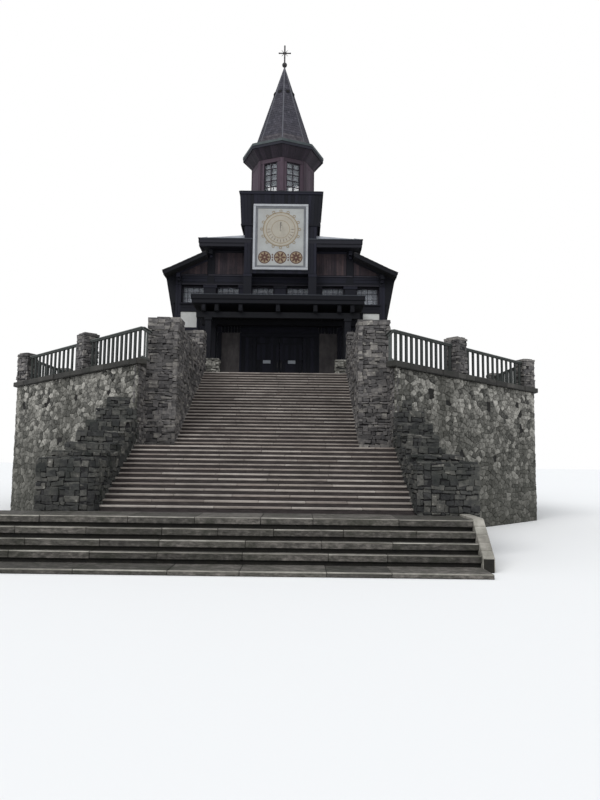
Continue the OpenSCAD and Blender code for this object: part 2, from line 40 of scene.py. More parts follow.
RISER = 0.155
FRONT, BACK = 4.8, 16.8
BODY = 5.95
CORNER_POST = 0.325
WINDOW = 1.3
NAVE = 4.15
MAIN = 4.55
EAVES = 6.52
ROOF_FRONT, ROOF_BACK = 4.1, 17.5
PLASTER_TOP = HEAD + 4.1
RAIL, RAIL_TOP = HEAD + 3.02, HEAD + 3.2
SILL = HEAD + 4.62
WINDOW_TOP = HEAD + 5.65
GABLE_FOOT = HEAD + 6.2
SOFFIT = HEAD + 7.69
AISLE_TOP = SOFFIT - 0.29
AISLE_SLOPE = 0.478
ROOF_EDGE = SOFFIT + 0.47
BELFRY = 2.02
BELFRY_FRONT, BELFRY_BACK = 4.08, 8.42
BELFRY_FOOT = WINDOW_TOP + 0.5
DRIP = BELFRY_FOOT + 2.78
DRIP_OUT, CORNICE_OUT = 0.18, 0.29
LANTERN = DRIP + 1.97
SPIRE = LANTERN + 2.79
TOWER_Y = 6.25
LANTERN_R = 1.85
EAVES_R = 2.40
SPIRE_H = 6.08
SKIRT_R, SKIRT_FOOT, SKIRT_TOP = 1.64, 0.26, 0.6
MAIN_RISE = 0.52
UPPER_HALF, LOWER_HALF = 3.48, 4.65
UPPER_TREAD, LOWER_TREAD = 0.284, 0.3
UPPER_Y = -23 * UPPER_TREAD
LANDING_DEEP = 1.36
LANDING_Y = UPPER_Y - LANDING_DEEP
LOWER_Y = LANDING_Y - 12 * LOWER_TREAD
CHEEK_Y = LOWER_Y - 0.4
BASE_Y = LOWER_Y - 1.86
SPLAY_Y = LANDING_Y + 0.29
EIGHTH = math.radians(22.5)
TURN = math.tan(EIGHTH)
HALF, REAR, SPLAY = 12.56, 20.0, 4.5
CORNER_Y = SPLAY_Y + HALF - LOWER_HALF
PLINTH, PLINTH_FRONT, PLINTH_BACK = 6.25, 0.4, 17.1
PORTICO_Y, PORTICO = 1.9, 4.48
POST = 3.65
JOIST = HEAD + 3.5
JOIST_TOP = HEAD + 3.9
PORTICO_TOP = JOIST_TOP + 0.47
DOOR_H = 2.7
JAMB, PLASTER_EDGE = 2.14, 2.24


# ---------------------------------------------------------------- camera
def photo_camera():
    """The camera fitted to the photo."""
    data = bpy.data.cameras.new("camera")
    camera = bpy.data.objects.new("camera", data)
    bpy.context.scene.collection.objects.link(camera)
    bpy.context.scene.camera = camera
    data.sensor_fit = "HORIZONTAL"
    data.sensor_width = 36.0
    data.lens = 36.0 * 627.5 / 600.0
    data.clip_end = 500
    yaw, pitch, roll = (math.radians(a) for a in (-0.183, 5.501, 0.689))
    ahead = Vector((math.sin(yaw) * math.cos(pitch), math.cos(yaw) * math.cos(pitch), math.sin(pitch)))
    right = Vector((math.cos(yaw), -math.sin(yaw), 0))
    up = right.cross(ahead)
    side = math.cos(roll) * right + math.sin(roll) * up
    top = -math.sin(roll) * right + math.cos(roll) * up
    place = Matrix((side, top, -ahead)).transposed().to_4x4()
    place.translation = Vector((1.307, -30.09, 2.715))
    camera.matrix_world = place


photo_camera()


# ---------------------------------------------------------------- finishes
CLOUD_ROUGH, STAIN_ROUGH = 0.62, 0.68
STAIN_DETAIL, FINE_DETAIL = 7.0, 6.0
STAIN_FROM, STAIN_TO = 0.44, 0.66
BUMP_DEPTH = 0.02
looks = {}


def rgb(r, g, b):
    """A colour given in 0 to 255, as linear values."""
    return tuple((c / 255 / 12.92) if c <= 10 else ((c / 255 + 0.055) / 1.055) ** 2.4 for c in (r, g, b)) + (1.0,)


def feed(tree, target, inputs):
    """Set the inputs of a node, or link the outputs that are given for them."""
    for key, value in inputs.items():
        if isinstance(value, bpy.types.NodeSocket):
            tree.links.new(value, target.inputs[key])
        else:
            target.inputs[key].default_value = value


def node(tree, kind, output, inputs=(), **settings):
    """The output of a new node."""
    made = tree.nodes.new("ShaderNode" + kind)
    for key, value in settings.items():
        setattr(made, key, value)
    feed(tree, made, dict(inputs))
    return made.outputs[output]


def blank(name):
    looks[name] = bpy.data.materials.new(name)
    looks[name].use_nodes = True
    tree = looks[name].node_tree
    return tree, tree.nodes["Principled BSDF"]


def finish(name, *tones, grain=(1, 1, 1), scale=3.0, detail=6.0, rough=(0.75, 0.95), bump=0.4, bump_scale=24.0,
           tint=0.0, stain=None, stain_scale=0.5, stain_amount=0.5, metallic=0.0, specular=0.3, low=None):
    """A finish from a noise along the grain, a tint for each stone or board, and stains over several pieces.

    Each tone is its place on the ramp and its colour. low is the height up to which the darker tone at the foot is
    full, the height where it ends, its colour and its amount.
    """
    tree, shader = blank(name)

    def over(under, colour, amount):
        """A colour laid over another by an amount."""
        return node(tree, "Mix", "Result", {"Factor": amount, "A": under, "B": rgb(*colour)}, data_type="RGBA")

    where = node(tree, "TexCoord", "Object")
    stretch = node(tree, "Mapping", "Vector", {"Vector": where, "Scale": grain})
    cloud = node(tree, "TexNoise", "Fac", {"Vector": stretch, "Scale": scale, "Detail": detail,
                                           "Roughness": CLOUD_ROUGH})
    share = cloud
    if tint:
        mark = node(tree, "Attribute", "Fac", attribute_name="tint")
        share = node(tree, "Mix", "Result", {"Factor": tint, "A": share, "B": mark})
    colour = node(tree, "ValToRGB", "Color", {"Fac": share})
    stops = colour.node.color_ramp.elements
    while len(stops) < len(tones):
        stops.new(0.5)
    for stop, (at, *tone) in zip(stops, tones):
        stop.position = at
        stop.color = rgb(*tone)
    if stain:
        patch = node(tree, "TexNoise", "Fac", {"Vector": where, "Scale": stain_scale, "Detail": STAIN_DETAIL,
                                               "Roughness": STAIN_ROUGH})
        edge = node(tree, "MapRange", "Result", {"Value": patch, "From Min": STAIN_FROM, "From Max": STAIN_TO,
                                                 "To Max": stain_amount})
        colour = over(colour, stain, edge)
    if low:
        full, end, foot_tone, amount = low
        height = node(tree, "SeparateXYZ", "Z", {"Vector": where})
        colour = over(colour, foot_tone, node(tree, "MapRange", "Result", {
            "Value": height, "From Min": full, "From Max": end, "To Min": amount, "To Max": 0.0}))
    fine = node(tree, "TexNoise", "Fac", {"Vector": stretch, "Scale": bump_scale, "Detail": FINE_DETAIL})
    feed(tree, shader, {
        "Base Color": colour, "Metallic": metallic, "Specular IOR Level": specular,
        "Roughness": node(tree, "MapRange", "Result", {"Value": cloud, "To Min": rough[0], "To Max": rough[1]}),
        "Normal": node(tree, "Bump", "Normal", {"Height": fine, "Strength": bump, "Distance": BUMP_DEPTH})})


finish("dark_rubble", (0.2, 50, 48, 50), (0.38, 79, 77, 77), (0.55, 103, 100, 99), (0.7, 134, 130, 125),
       (0.82, 184, 181, 172), scale=8, detail=11, tint=0.36, bump=0.9, bump_scale=16, stain=(51, 50, 48),
       stain_scale=0.8, stain_amount=0.6)
finish("mossy_rubble", (0.2, 30, 31, 32), (0.4, 51, 51, 51), (0.56, 70, 70, 67), (0.72, 97, 95, 90),
       (0.82, 172, 169, 160), scale=8, detail=11, tint=0.34, bump=0.9, bump_scale=16, stain=(33, 37, 33),
       stain_scale=1.1, stain_amount=0.75)
# darker towards the bottom of the terrace walls, fading out from 0.6 m up to 5.6 m
finish("pale_rubble", (0.3, 35, 35, 33), (0.42, 84, 83, 78), (0.54, 121, 119, 113), (0.7, 181, 178, 170), scale=11,
       detail=12, tint=0.3, bump=1.0, bump_scale=18, stain=(69, 68, 62), stain_scale=0.5, stain_amount=0.6,
       low=(0.6, 5.6, (62, 62, 56), 0.72))
finish("mortar", (0.3, 35, 34, 32), (0.7, 81, 78, 72), scale=8, bump=0.8, bump_scale=40)
finish("dark_joint", (0.3, 21, 21, 22), (0.7, 39, 38, 39), scale=8, bump=0.8, bump_scale=40)
# painted shade: near-black for the inside of the drain holes in the terrace walls and of the vent openings
finish("weep_dark", (0.3, 14, 14, 13), (0.7, 30, 28, 26), scale=6, bump=0.5)
finish("step_stone", (0.22, 120, 111, 105), (0.5, 151, 143, 136), (0.76, 174, 167, 160), grain=(0.5, 2, 2), scale=4,
       detail=9, tint=0.35, bump=0.5, bump_scale=30, stain=(81, 77, 72), stain_scale=0.8, stain_amount=0.5)
finish("riser_stone", (0.3, 40, 36, 35), (0.6, 62, 56, 55), (0.8, 84, 77, 75), grain=(0.6, 2, 3), scale=5, bump=0.6,
       bump_scale=26)
# pale top edges of the base slabs: partly wear, partly a painted highlight where the sky lights them
finish("base_edge", (0.25, 113, 110, 103), (0.5, 143, 139, 131), (0.75, 172, 169, 160), grain=(0.6, 1.5, 1.5), scale=4,
       detail=9, tint=0.35, bump=0.7, bump_scale=20, stain=(74, 74, 65), stain_scale=1.2, stain_amount=0.7)
finish("base_face", (0.3, 44, 42, 39), (0.5, 77, 74, 70), (0.72, 122, 117, 111), grain=(0.7, 1.5, 1.4), scale=9,
       detail=12, tint=0.15, bump=0.9, bump_scale=18, stain=(44, 46, 37), stain_scale=1.4, stain_amount=0.7)
# painted shade: near-black for the recesses between the base slabs, where shade falls
finish("recess_painted_shade", (0.3, 19, 18, 17), (0.7, 40, 38, 33), scale=5, bump=0.7)
# the coping's own dark tone, carried over its whole face so that it also stands for the shade under the ledge: partly
# painted shade
finish("ledge_stone", (0.25, 39, 38, 36), (0.55, 60, 58, 55), (0.8, 86, 84, 80), scale=5, detail=9, tint=0.4, bump=0.6,
       bump_scale=22, stain=(42, 44, 39), stain_scale=0.9, stain_amount=0.6)
finish("paving", (0.25, 77, 75, 69), (0.5, 99, 95, 88), (0.8, 121, 118, 109), scale=2.2, tint=0.45, bump=0.5,
       bump_scale=18, stain=(69, 70, 58), stain_scale=0.4)
finish("paving_joint", (0.3, 46, 44, 38), (0.7, 67, 65, 56), scale=6, bump=0.7)
finish("weathered_rail", (0.25, 49, 52, 51), (0.5, 69, 72, 70), (0.78, 93, 96, 93), grain=(6, 6, 0.8), scale=5,
       tint=0.4, bump=0.5, bump_scale=18, stain=(48, 53, 47), stain_scale=0.8, stain_amount=0.5)
finish("rail_top", (0.25, 72, 76, 74), (0.6, 97, 100, 98), (0.85, 123, 126, 121), grain=(1.5, 1.5, 6), scale=4,
       tint=0.3, bump=0.5, bump_scale=18)
finish("tarred_timber", (0.25, 12, 13, 19), (0.5, 20, 21, 29), (0.8, 31, 31, 43), grain=(7, 7, 0.7), scale=4, tint=0.4,
       bump=0.5, bump_scale=16, rough=(0.6, 0.9), specular=0.2)
finish("tarred_beam", (0.25, 9, 10, 15), (0.5, 13, 14, 20), (0.8, 22, 23, 30), grain=(0.7, 7, 7), scale=4, tint=0.4,
       bump=0.5, bump_scale=16, rough=(0.6, 0.9), specular=0.2)
finish("roof_fascia", (0.25, 19, 19, 25), (0.5, 28, 28, 35), (0.8, 40, 40, 49), grain=(0.6, 5, 5), scale=4, tint=0.35,
       bump=0.4, bump_scale=16, rough=(0.55, 0.8), specular=0.2)
finish("red_boards", (0.2, 30, 27, 33), (0.45, 48, 40, 44), (0.65, 62, 51, 53), (0.88, 77, 63, 62), grain=(9, 9, 0.5),
       scale=3, tint=0.45, bump=0.5, bump_scale=14, stain=(21, 20, 26), stain_scale=0.9, stain_amount=0.75)
finish("moulding_wood", (0.25, 33, 33, 39), (0.6, 48, 46, 53), (0.85, 63, 62, 69), grain=(0.6, 6, 6), scale=4,
       tint=0.3, bump=0.4)
finish("maroon_wood", (0.25, 42, 33, 41), (0.5, 62, 48, 58), (0.8, 84, 70, 81), grain=(7, 7, 0.6), scale=3.5,
       tint=0.35, bump=0.4, bump_scale=16, rough=(0.55, 0.8))
finish("maroon_dark", (0.25, 26, 23, 30), (0.5, 39, 33, 41), (0.8, 56, 48, 58), grain=(7, 7, 0.6), scale=3.5,
       tint=0.35, bump=0.4, bump_scale=16, rough=(0.6, 0.85))
finish("lime_plaster", (0.3, 178, 179, 176), (0.6, 192, 193, 191), (0.85, 202, 202, 201), scale=1.6, bump=0.5,
       bump_scale=9, stain=(162, 158, 150), stain_scale=0.6, stain_amount=0.4)
# painted shade: the plaster beside the doorway is darkened for the shade under the portico roof
finish("shade_painted_plaster", (0.25, 58, 55, 55), (0.55, 77, 73, 73), (0.85, 95, 91, 89), grain=(2, 2, 0.5), scale=2.4,
       bump=0.5, bump_scale=9, stain=(44, 41, 44), stain_scale=0.9, stain_amount=0.6)
finish("panel_white", (0.3, 150, 151, 150), (0.7, 162, 164, 162), scale=2, bump=0.15, stain=(141, 139, 133),
       stain_scale=0.7, stain_amount=0.5)
finish("frame_white", (0.3, 153, 156, 160), (0.7, 169, 171, 174), grain=(2, 2, 2), scale=5, bump=0.2,
       stain=(132, 132, 134), stain_scale=1.5, stain_amount=0.4)
finish("frame_grey", (0.3, 93, 95, 98), (0.7, 114, 116, 119), scale=3, bump=0.2, stain=(79, 79, 86), stain_scale=1.4,
       stain_amount=0.4)
finish("ochre_paint", (0.3, 128, 114, 93), (0.7, 144, 131, 109), scale=4, bump=0.15)
finish("brown_paint", (0.3, 70, 48, 44), (0.7, 95, 70, 60), scale=4, bump=0.15)
finish("pale_paint", (0.3, 151, 145, 134), (0.7, 162, 157, 145), scale=3, bump=0.15)
finish("spire_shingle", (0.2, 40, 40, 46), (0.5, 55, 54, 62), (0.8, 74, 72, 80), grain=(5, 5, 1), scale=3, tint=0.35,
       bump=0.5, bump_scale=14, stain=(65, 62, 68), stain_scale=0.6, stain_amount=0.5)
finish("skirt_shingle", (0.2, 49, 46, 51), (0.5, 65, 62, 67), (0.8, 86, 82, 85), grain=(5, 5, 1), scale=3, tint=0.35,
       bump=0.5, bump_scale=14)
finish("roof_shingle", (0.2, 25, 24, 27), (0.5, 39, 37, 40), (0.8, 58, 56, 58), grain=(2, 6, 4), scale=3, tint=0.5,
       bump=0.5, bump_scale=14, stain=(42, 44, 40), stain_scale=0.7, stain_amount=0.4)
finish("sheet_roof", (0.3, 139, 143, 150), (0.7, 169, 172, 178), scale=1.2, rough=(0.35, 0.55), bump=0.1, metallic=0.3,
       specular=0.5, stain=(114, 117, 123))
finish("rim_metal", (0.3, 35, 38, 44), (0.7, 51, 55, 62), scale=2, rough=(0.45, 0.65), bump=0.1, metallic=0.2,
       specular=0.4)
finish("edge_metal", (0.3, 46, 53, 55), (0.7, 67, 76, 77), scale=3, rough=(0.45, 0.65), bump=0.15, metallic=0.2,
       specular=0.4, stain=(39, 44, 47))
finish("hip_metal", (0.3, 67, 67, 73), (0.7, 88, 88, 95), scale=3, rough=(0.4, 0.6), bump=0.12, metallic=0.3,
       specular=0.5)
finish("wrought_iron", (0.3, 39, 38, 40), (0.7, 63, 62, 62), scale=9, rough=(0.4, 0.7), bump=0.3, metallic=0.6,
       specular=0.5)
finish("pale_cloth", (0.3, 123, 124, 132), (0.7, 141, 142, 149), grain=(20, 20, 2), scale=3, bump=0.3, bump_scale=30)
finish("pale_ceiling", (0.3, 151, 150, 158), (0.7, 167, 166, 172), grain=(8, 1, 2), scale=2, bump=0.2)
finish("floor_boards", (0.3, 92, 76, 62), (0.7, 123, 106, 88), grain=(8, 0.8, 2), scale=3, tint=0.4, bump=0.3)
finish("notice_white", (0.3, 139, 144, 151), (0.7, 155, 159, 166), scale=6, bump=0.1)


def pane_glass():
    tree, shader = blank("pane_glass")
    cloud = node(tree, "TexNoise", "Fac", {"Vector": node(tree, "TexCoord", "Object"), "Scale": 2.5})
    # the pale colour at a fifth of full opacity is a painted reflection of the sky on the panes
    feed(tree, shader, {"Base Color": (0.62, 0.66, 0.7, 1), "Alpha": 0.2,
                        "Roughness": node(tree, "MapRange", "Result", {"Value": cloud, "To Min": 0.02,
                                                                       "To Max": 0.12})})


pane_glass()
for look, names in {
    # base_steps shows only in the recesses between the base slabs and takes painted shade there
    # the coping takes the ledge finish, partly painted shade under the ledge
    "recess_painted_shade": "base_steps", "riser_stone": "lower_flight upper_flight", "ledge_stone": "coping",
    "dark_joint": "lower_stair_walls upper_stair_walls landing_piers railing_piers portico_blocks",
    "mortar": "front_terrace_walls side_terrace_walls corner_terrace_walls rear_terrace_wall",
    "paving_joint": "terrace_fill chapel_plinth", "weathered_rail": "front_railing side_railing rear_railing",
    "lime_plaster": "front_walls side_walls rear_wall", "pane_glass": "window_glass lantern_glass",
    "tarred_timber": "door_jambs front_wall_over window_posts gable_walls wall_plates eaves_brackets portico_posts "
                     "door_left door_right belfry belfry_legs",
    "tarred_beam": "sill_beams portico_beams portico_joists portico_roof", "roof_shingle": "aisle_roofs",
    "roof_fascia": "main_roof", "panel_white": "sundial_panel", "maroon_wood": "lantern_posts",
    "maroon_dark": "lantern_rings", "spire_shingle": "spire", "wrought_iron": "finial",
}.items():
    for name in names.split():
        nodes[name].data.materials.clear()
        nodes[name].data.materials.append(looks[look])


# ---------------------------------------------------------------- making pieces
def keep(bm, name, look, body="root"):
    """Make a piece of the mesh; look names its finishes."""
    mesh = bpy.data.meshes.new(name)
    bm.to_mesh(mesh)
    bm.free()
    for m in look.split():
        mesh.materials.append(looks[m])
    piece = bpy.data.objects.new(name, mesh)
    bpy.context.scene.collection.objects.link(piece)
    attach(piece, body)
    return piece


def keep_outward(bm, name, look):
    """The same, with the faces turned outwards first."""
    bmesh.ops.recalc_face_normals(bm, faces=bm.faces)
    return keep(bm, name, look)


def smooth(piece):
    for p in piece.data.polygons:
        p.use_smooth = True


def flat(point, z):
    return Vector((point[0], point[1], z))


def label(side):
    return "left" if side < 0 else "right"


def mirrored(side, low, high):
    """The stretch from low to high, or its mirror image on the left."""
    return (low, high) if side > 0 else (-high, -low)


def flipped(side, path):
    """A path in plan, or its mirror image on the left with the same outer side."""
    return path if side > 0 else [(-x, y) for x, y in reversed(path)]


def corners(x0, x1, y0, y1):
    return [(x0, y0), (x1, y0), (x1, y1), (x0, y1)]


def spun(y, degrees):
    """Turned about the upright axis through (0, y)."""
    return Matrix.Translation((0, y, 0)) @ Matrix.Rotation(math.radians(degrees), 4, "Z")


def face(point, along):
    """Local axes of a wall face: u along it, v up, w outwards, which is to the right of along."""
    a = Vector(along).normalized()
    place = Matrix(((a.x, a.y, 0), (0, 0, 1), (a.y, -a.x, 0))).transposed().to_4x4()
    place.translation = flat(point, 0)
    return place


def reshape(made, wall, above, widen, push=0.0):
    """Widen and push out the corners higher than above, in the local axes of a wall face."""
    back = wall.inverted()
    for v in made:
        local = back @ v.co
        if local.y > above:
            local.x *= widen(local.y)
            local.z += push
            v.co = wall @ local


def runs(chance, start, end, least, most, rest, size=1.0, stop=0.01):
    """Cut a stretch into lengths by chance; a last one that would be under rest is joined to the one before."""
    at = start
    while at < end - stop:
        run = size * chance.uniform(least, most)
        if end - at - run < rest:
            run = end - at
        yield at, run
        at += run


class Pile:
    """Stones or boards, each cut from a cube; all their edges are eased together at the end."""

    def __init__(self, seed):
        self.bm = bmesh.new()
        self.tint = self.bm.verts.layers.float.new("tint")
        self.chance = random.Random(seed)

    def block(self, place, size, jitter=0.0, head=None, material=0):
        made = bmesh.ops.create_cube(self.bm, size=1.0)["verts"]
        shade = self.chance.random()
        for v in made:
            top = v.co.y > 0
            v.co = Vector((v.co.x * size[0], v.co.y * size[1], v.co.z * size[2]))
            if jitter:
                v.co += Vector([self.chance.uniform(-jitter, jitter) for _ in range(3)])
            v[self.tint] = shade
            if head and top:
                v.co.y = head(v.co.x)
        if material:
            for f in {f for v in made for f in v.link_faces}:
                f.material_index = material
        bmesh.ops.transform(self.bm, matrix=place, verts=made)
        return made

    def box(self, low, high, jitter=0.0, material=0):
        low, high = Vector(low), Vector(high)
        return self.block(Matrix.Translation((low + high) / 2), high - low, jitter, None, material)

    def on(self, wall, u0, u1, v0, v1, w0, w1, head=None, material=0, jitter=0.0):
        """A board on a wall face; head gives the height of its top at u, where that isn't level."""
        middle = Vector(((u0 + u1) / 2, (v0 + v1) / 2, (w0 + w1) / 2))
        top = (lambda u: head(middle.x + u) - middle.y) if head else None
        return self.block(wall @ Matrix.Translation(middle), (u1 - u0, v1 - v0, w1 - w0), jitter, top, material)

    def boards(self, wall, u0, u1, v0, v1, w0, w1, width=0.18, head=None, gap=0.006):
        """Upright boards side by side, with small joints between them."""
        count = max(1, round((u1 - u0) / width))
        cuts = [u0 + (u1 - u0) * i / count for i in range(count + 1)]
        for i in range(1, count):
            cuts[i] += self.chance.uniform(-0.12, 0.12) * width
        for a, b in zip(cuts, cuts[1:]):
            self.on(wall, a + gap / 2, b - gap / 2, v0, v1, w0, w1 + self.chance.uniform(-0.003, 0.003), head)

    def rows(self, wall, u0, u1, v0, v1, w0, w1, width=0.2, gap=0.006):
        """Level boards one over the other."""
        count = max(1, round((v1 - v0) / width))
        for i in range(count):
            a, b = v0 + (v1 - v0) * i / count, v0 + (v1 - v0) * (i + 1) / count
            self.on(wall, u0, u1, a + gap / 2, b - gap / 2, w0, w1 + self.chance.uniform(-0.003, 0.003))

    def bar(self, start, end, wide, thick, out=(0, 0, 1)):
        """A bar from start to end; its thickness lies along out."""
        start, end = Vector(start), Vector(end)
        along = (end - start).normalized()
        side = Vector(out).cross(along).normalized()
        place = Matrix((along, side, along.cross(side))).transposed().to_4x4()
        place.translation = (start + end) / 2
        return self.block(place, ((end - start).length, wide, thick))

    def keep(self, name, look, slot, ease=0.0, body="root"):
        """Make the piece; nothing in it stays below ground level."""
        for v in self.bm.verts:
            v.co.z = max(v.co.z, 0.0)
        if ease:
            bmesh.ops.bevel(self.bm, geom=list(self.bm.edges), offset=ease, offset_type="OFFSET", segments=1,
                            profile=0.5, affect="EDGES", clamp_overlap=True, material=-1)
        return keep(self.bm, name, look, body)


def turns(path, closed):
    """For each corner of a path, whether courses change over there."""
    count = len(path) if closed else len(path) - 1
    sharp = []
    for k in range(len(path)):
        if not closed and k in (0, count):
            sharp.append(False)
            continue
        a = Vector(path[k]) - Vector(path[k - 1])
        b = Vector(path[(k + 1) % len(path)]) - Vector(path[k])
        sharp.append(abs(a.angle_signed(b)) > 0.6)
    return sharp


def lay_courses(pile, path, z0, z1, course=0.13, length=0.42, depth=0.16, proud=0.035, closed=False, rough=0.014):
    """Rubble laid in courses along a path in plan, outwards to its right; stones turn the corners by turns."""
    uneven = 0.45
    chance = pile.chance
    sharp = turns(path, closed)
    z = z0
    row = 0
    while z < z1 - 0.03:
        high = min(course * chance.uniform(1 - uneven, 1 + uneven), z1 - z)
        if z1 - z - high < 0.05:
            high = z1 - z
        for k in range(len(path) if closed else len(path) - 1):
            last = (k + 1) % len(path)
            p, q = Vector(path[k]), Vector(path[last])
            along = (q - p).normalized()
            out = Vector((along.y, -along.x))
            place_in = Matrix((flat(along, 0), flat(-out, 0), Vector((0, 0, 1)))).transposed().to_4x4()
            start, end = 0.0, (q - p).length
            if sharp[k]:
                start = -proud if row % 2 == 0 else depth - proud
            if sharp[last]:
                end = end - depth + proud if row % 2 == 0 else end + proud
            for u, run in runs(chance, start, end, 0.4, 1.6, length * 0.35, length):
                push = chance.uniform(-0.03, 0.024)
                tall = high * (chance.uniform(0.8, 1.15) if chance.random() > 0.15 else chance.uniform(1.3, 1.9))
                tall = min(tall, z1 + 0.02 - z)
                middle = p + along * (u + run / 2) + out * (proud - depth / 2 + push)
                place = place_in.copy()
                place.translation = flat(middle, z + tall / 2 + chance.uniform(-0.01, 0.01))
                place = place @ Matrix.Rotation(chance.uniform(-0.12, 0.12), 4, "Y")
                pile.block(place, (max(0.05, run - 0.012), depth, max(0.03, tall - 0.008)), rough)
        z += high
        row += 1


def lay_cap(pile, low, high, z, size=0.4, thick=0.09, over=0.03):
    """Flat stones over the rectangle from low to high."""
    chance = pile.chance
    for y, deep in runs(chance, low[1] - over, high[1] + over, 0.7, 1.2, 0.12, size, 0.02):
        for x, run in runs(chance, low[0] - over, high[0] + over, 0.6, 1.5, 0.14, size, 0.02):
            lift = chance.uniform(-0.02, 0.03)
            pile.box((x + 0.006, y + 0.006, z - thick / 2 + lift),
                     (x + run - 0.006, y + deep - 0.006, z + thick / 2 + lift), 0.014)


def side_cap(pile, side, x0, x1, y0, y1, z, **more):
    """Flat stones over a rectangle that is given for the right-hand side."""
    x0, x1 = mirrored(side, x0, x1)
    lay_cap(pile, (x0, y0), (x1, y1), z, **more)


def stone_cells(name, place, long, high, cell, look, seed, holes=(), block=None, limits=None, gap=0.011,
                relief=0.05, sunk=0.03, round_in=0.03, wide=1.35):
    """Many-sided stones side by side: each is a square cut down along the middle lines to its neighbours.

    A stone near one of the holes is set back and takes the second finish, painted near-black as the shade inside
    the hole. block leaves places out, and limits gives more cuts for a stone.
    """
    mix, missing = 0.62, 0.17
    chance = random.Random(seed)
    columns, rows = max(2, round(long / (cell * wide))), max(2, round(high / cell))
    du, dv = long / columns, high / rows
    seeds = {}
    for i in range(-2, columns + 2):
        for j in range(-2, rows + 2):
            if 0 <= i < columns and 0 <= j < rows and chance.random() < missing:
                continue
            seeds[i, j] = Vector(((i + 0.5 + chance.uniform(-mix, mix) / 2 + (j % 2) * 0.3) * du,
                                  (j + 0.5 + chance.uniform(-mix, mix) / 2) * dv, 0))
    whole = bmesh.new()
    whole.verts.layers.float.new("tint")
    scrap = bpy.data.meshes.new("scrap")
    for (i, j), at in seeds.items():
        if not (-du < at.x < long + du and -dv < at.y < high + dv) or (block and block(at)):
            continue
        small = bmesh.new()
        tint = small.verts.layers.float.new("tint")
        bmesh.ops.create_grid(small, x_segments=1, y_segments=1, size=0.5)
        for v in small.verts:
            v.co = Vector((at.x + v.co.x * 4 * du, at.y + v.co.y * 4 * dv, 0))
        cuts = []
        for a in range(-2, 3):
            for b in range(-2, 3):
                other = seeds.get((i + a, j + b))
                if other and (a or b):
                    way = other - at
                    normal = Vector((way.x / wide ** 2, way.y, 0))
                    length = normal.length
                    cuts.append((at + way / 2 - normal / length * gap / 2, normal / length))
        cuts += [(flat(point, 0), flat(way, 0)) for point, way in (
            ((gap / 2, 0), (-1, 0)), ((long - gap / 2, 0), (1, 0)), ((0, gap / 2), (0, -1)),
            ((0, high - gap / 2), (0, 1)))]
        if limits:
            cuts += limits(at)
        for point, normal in cuts:
            sides = [(v.co - point).dot(normal) for v in small.verts]
            if not sides or min(sides) > -0.02:
                bmesh.ops.delete(small, geom=small.verts[:], context="VERTS")
                break
            if max(sides) > 1e-5:
                bmesh.ops.bisect_plane(small, geom=small.verts[:] + small.edges[:] + small.faces[:], dist=1e-5,
                                       plane_co=point, plane_no=normal, clear_outer=True)
        bmesh.ops.remove_doubles(small, verts=small.verts[:], dist=0.012)
        small.faces.ensure_lookup_table()
        if len(small.faces) != 1 or small.faces[0].calc_area() < 0.004:
            small.free()
            continue
        stone = small.faces[0]
        middle = stone.calc_center_median()
        weep = any((flat(hole, 0) - middle).length < 0.16 for hole in holes)
        shade = chance.random()
        size = min(round_in, 0.18 * math.sqrt(stone.calc_area()))
        lift = relief * chance.uniform(0.75, 1.15)
        if weep:
            lift = 0.014
        bottom = list(small.verts)
        made = bmesh.ops.extrude_face_region(small, geom=[stone], use_keep_orig=True)["geom"]
        top = [g for g in made if isinstance(g, bmesh.types.BMFace)][0]
        slope = min(0.08, relief * 0.5 / cell)
        tilt = (chance.uniform(-slope, slope), chance.uniform(-slope, slope))
        centre = top.calc_center_median()
        for v in top.verts:
            v.co.z += lift * 0.55 + (0 if weep else (v.co.x - centre.x) * tilt[0] + (v.co.y - centre.y) * tilt[1])
        bmesh.ops.inset_region(small, faces=[top], thickness=size, depth=0.0 if weep else lift * 0.45,
                               use_even_offset=True)
        for v in bottom:
            v.co.z = -sunk
        for v in small.verts:
            v[tint] = shade
        bmesh.ops.recalc_face_normals(small, faces=small.faces[:])
        for f in small.faces:
            # stones at the holes take painted shade for the dark inside of the hole
            f.material_index = 1 if weep else 0
        small.to_mesh(scrap)
        small.free()
        whole.from_mesh(scrap)
    bpy.data.meshes.remove(scrap)
    bmesh.ops.transform(whole, matrix=place, verts=whole.verts[:])
    keep(whole, name, look)


# ---------------------------------------------------------------- stair
def tread_slabs():
    pile = Pile(11)
    for half, y0, tread, z0, last, deep in ((LOWER_HALF, LOWER_Y, LOWER_TREAD, FOOT, 12, LANDING_DEEP),
                                            (UPPER_HALF, UPPER_Y, UPPER_TREAD, LANDING, 23, 0.42)):
        for i in range(last + 1):
            y, z = y0 + i * tread, z0 + (i + 1) * RISER
            for x, run in runs(pile.chance, -half, half, 1.2, 2.3, 0.7):
                dip = pile.chance.uniform(-0.002, 0.002)
                pile.box((x + 0.004, y - 0.024 + dip, z - 0.05),
                         (x + run - 0.004, y + (tread if i < last else deep) - 0.03, z + 0.006 + dip), 0.002)
    pile.keep("tread_slabs", "step_stone", "stair_stone", ease=0.011)


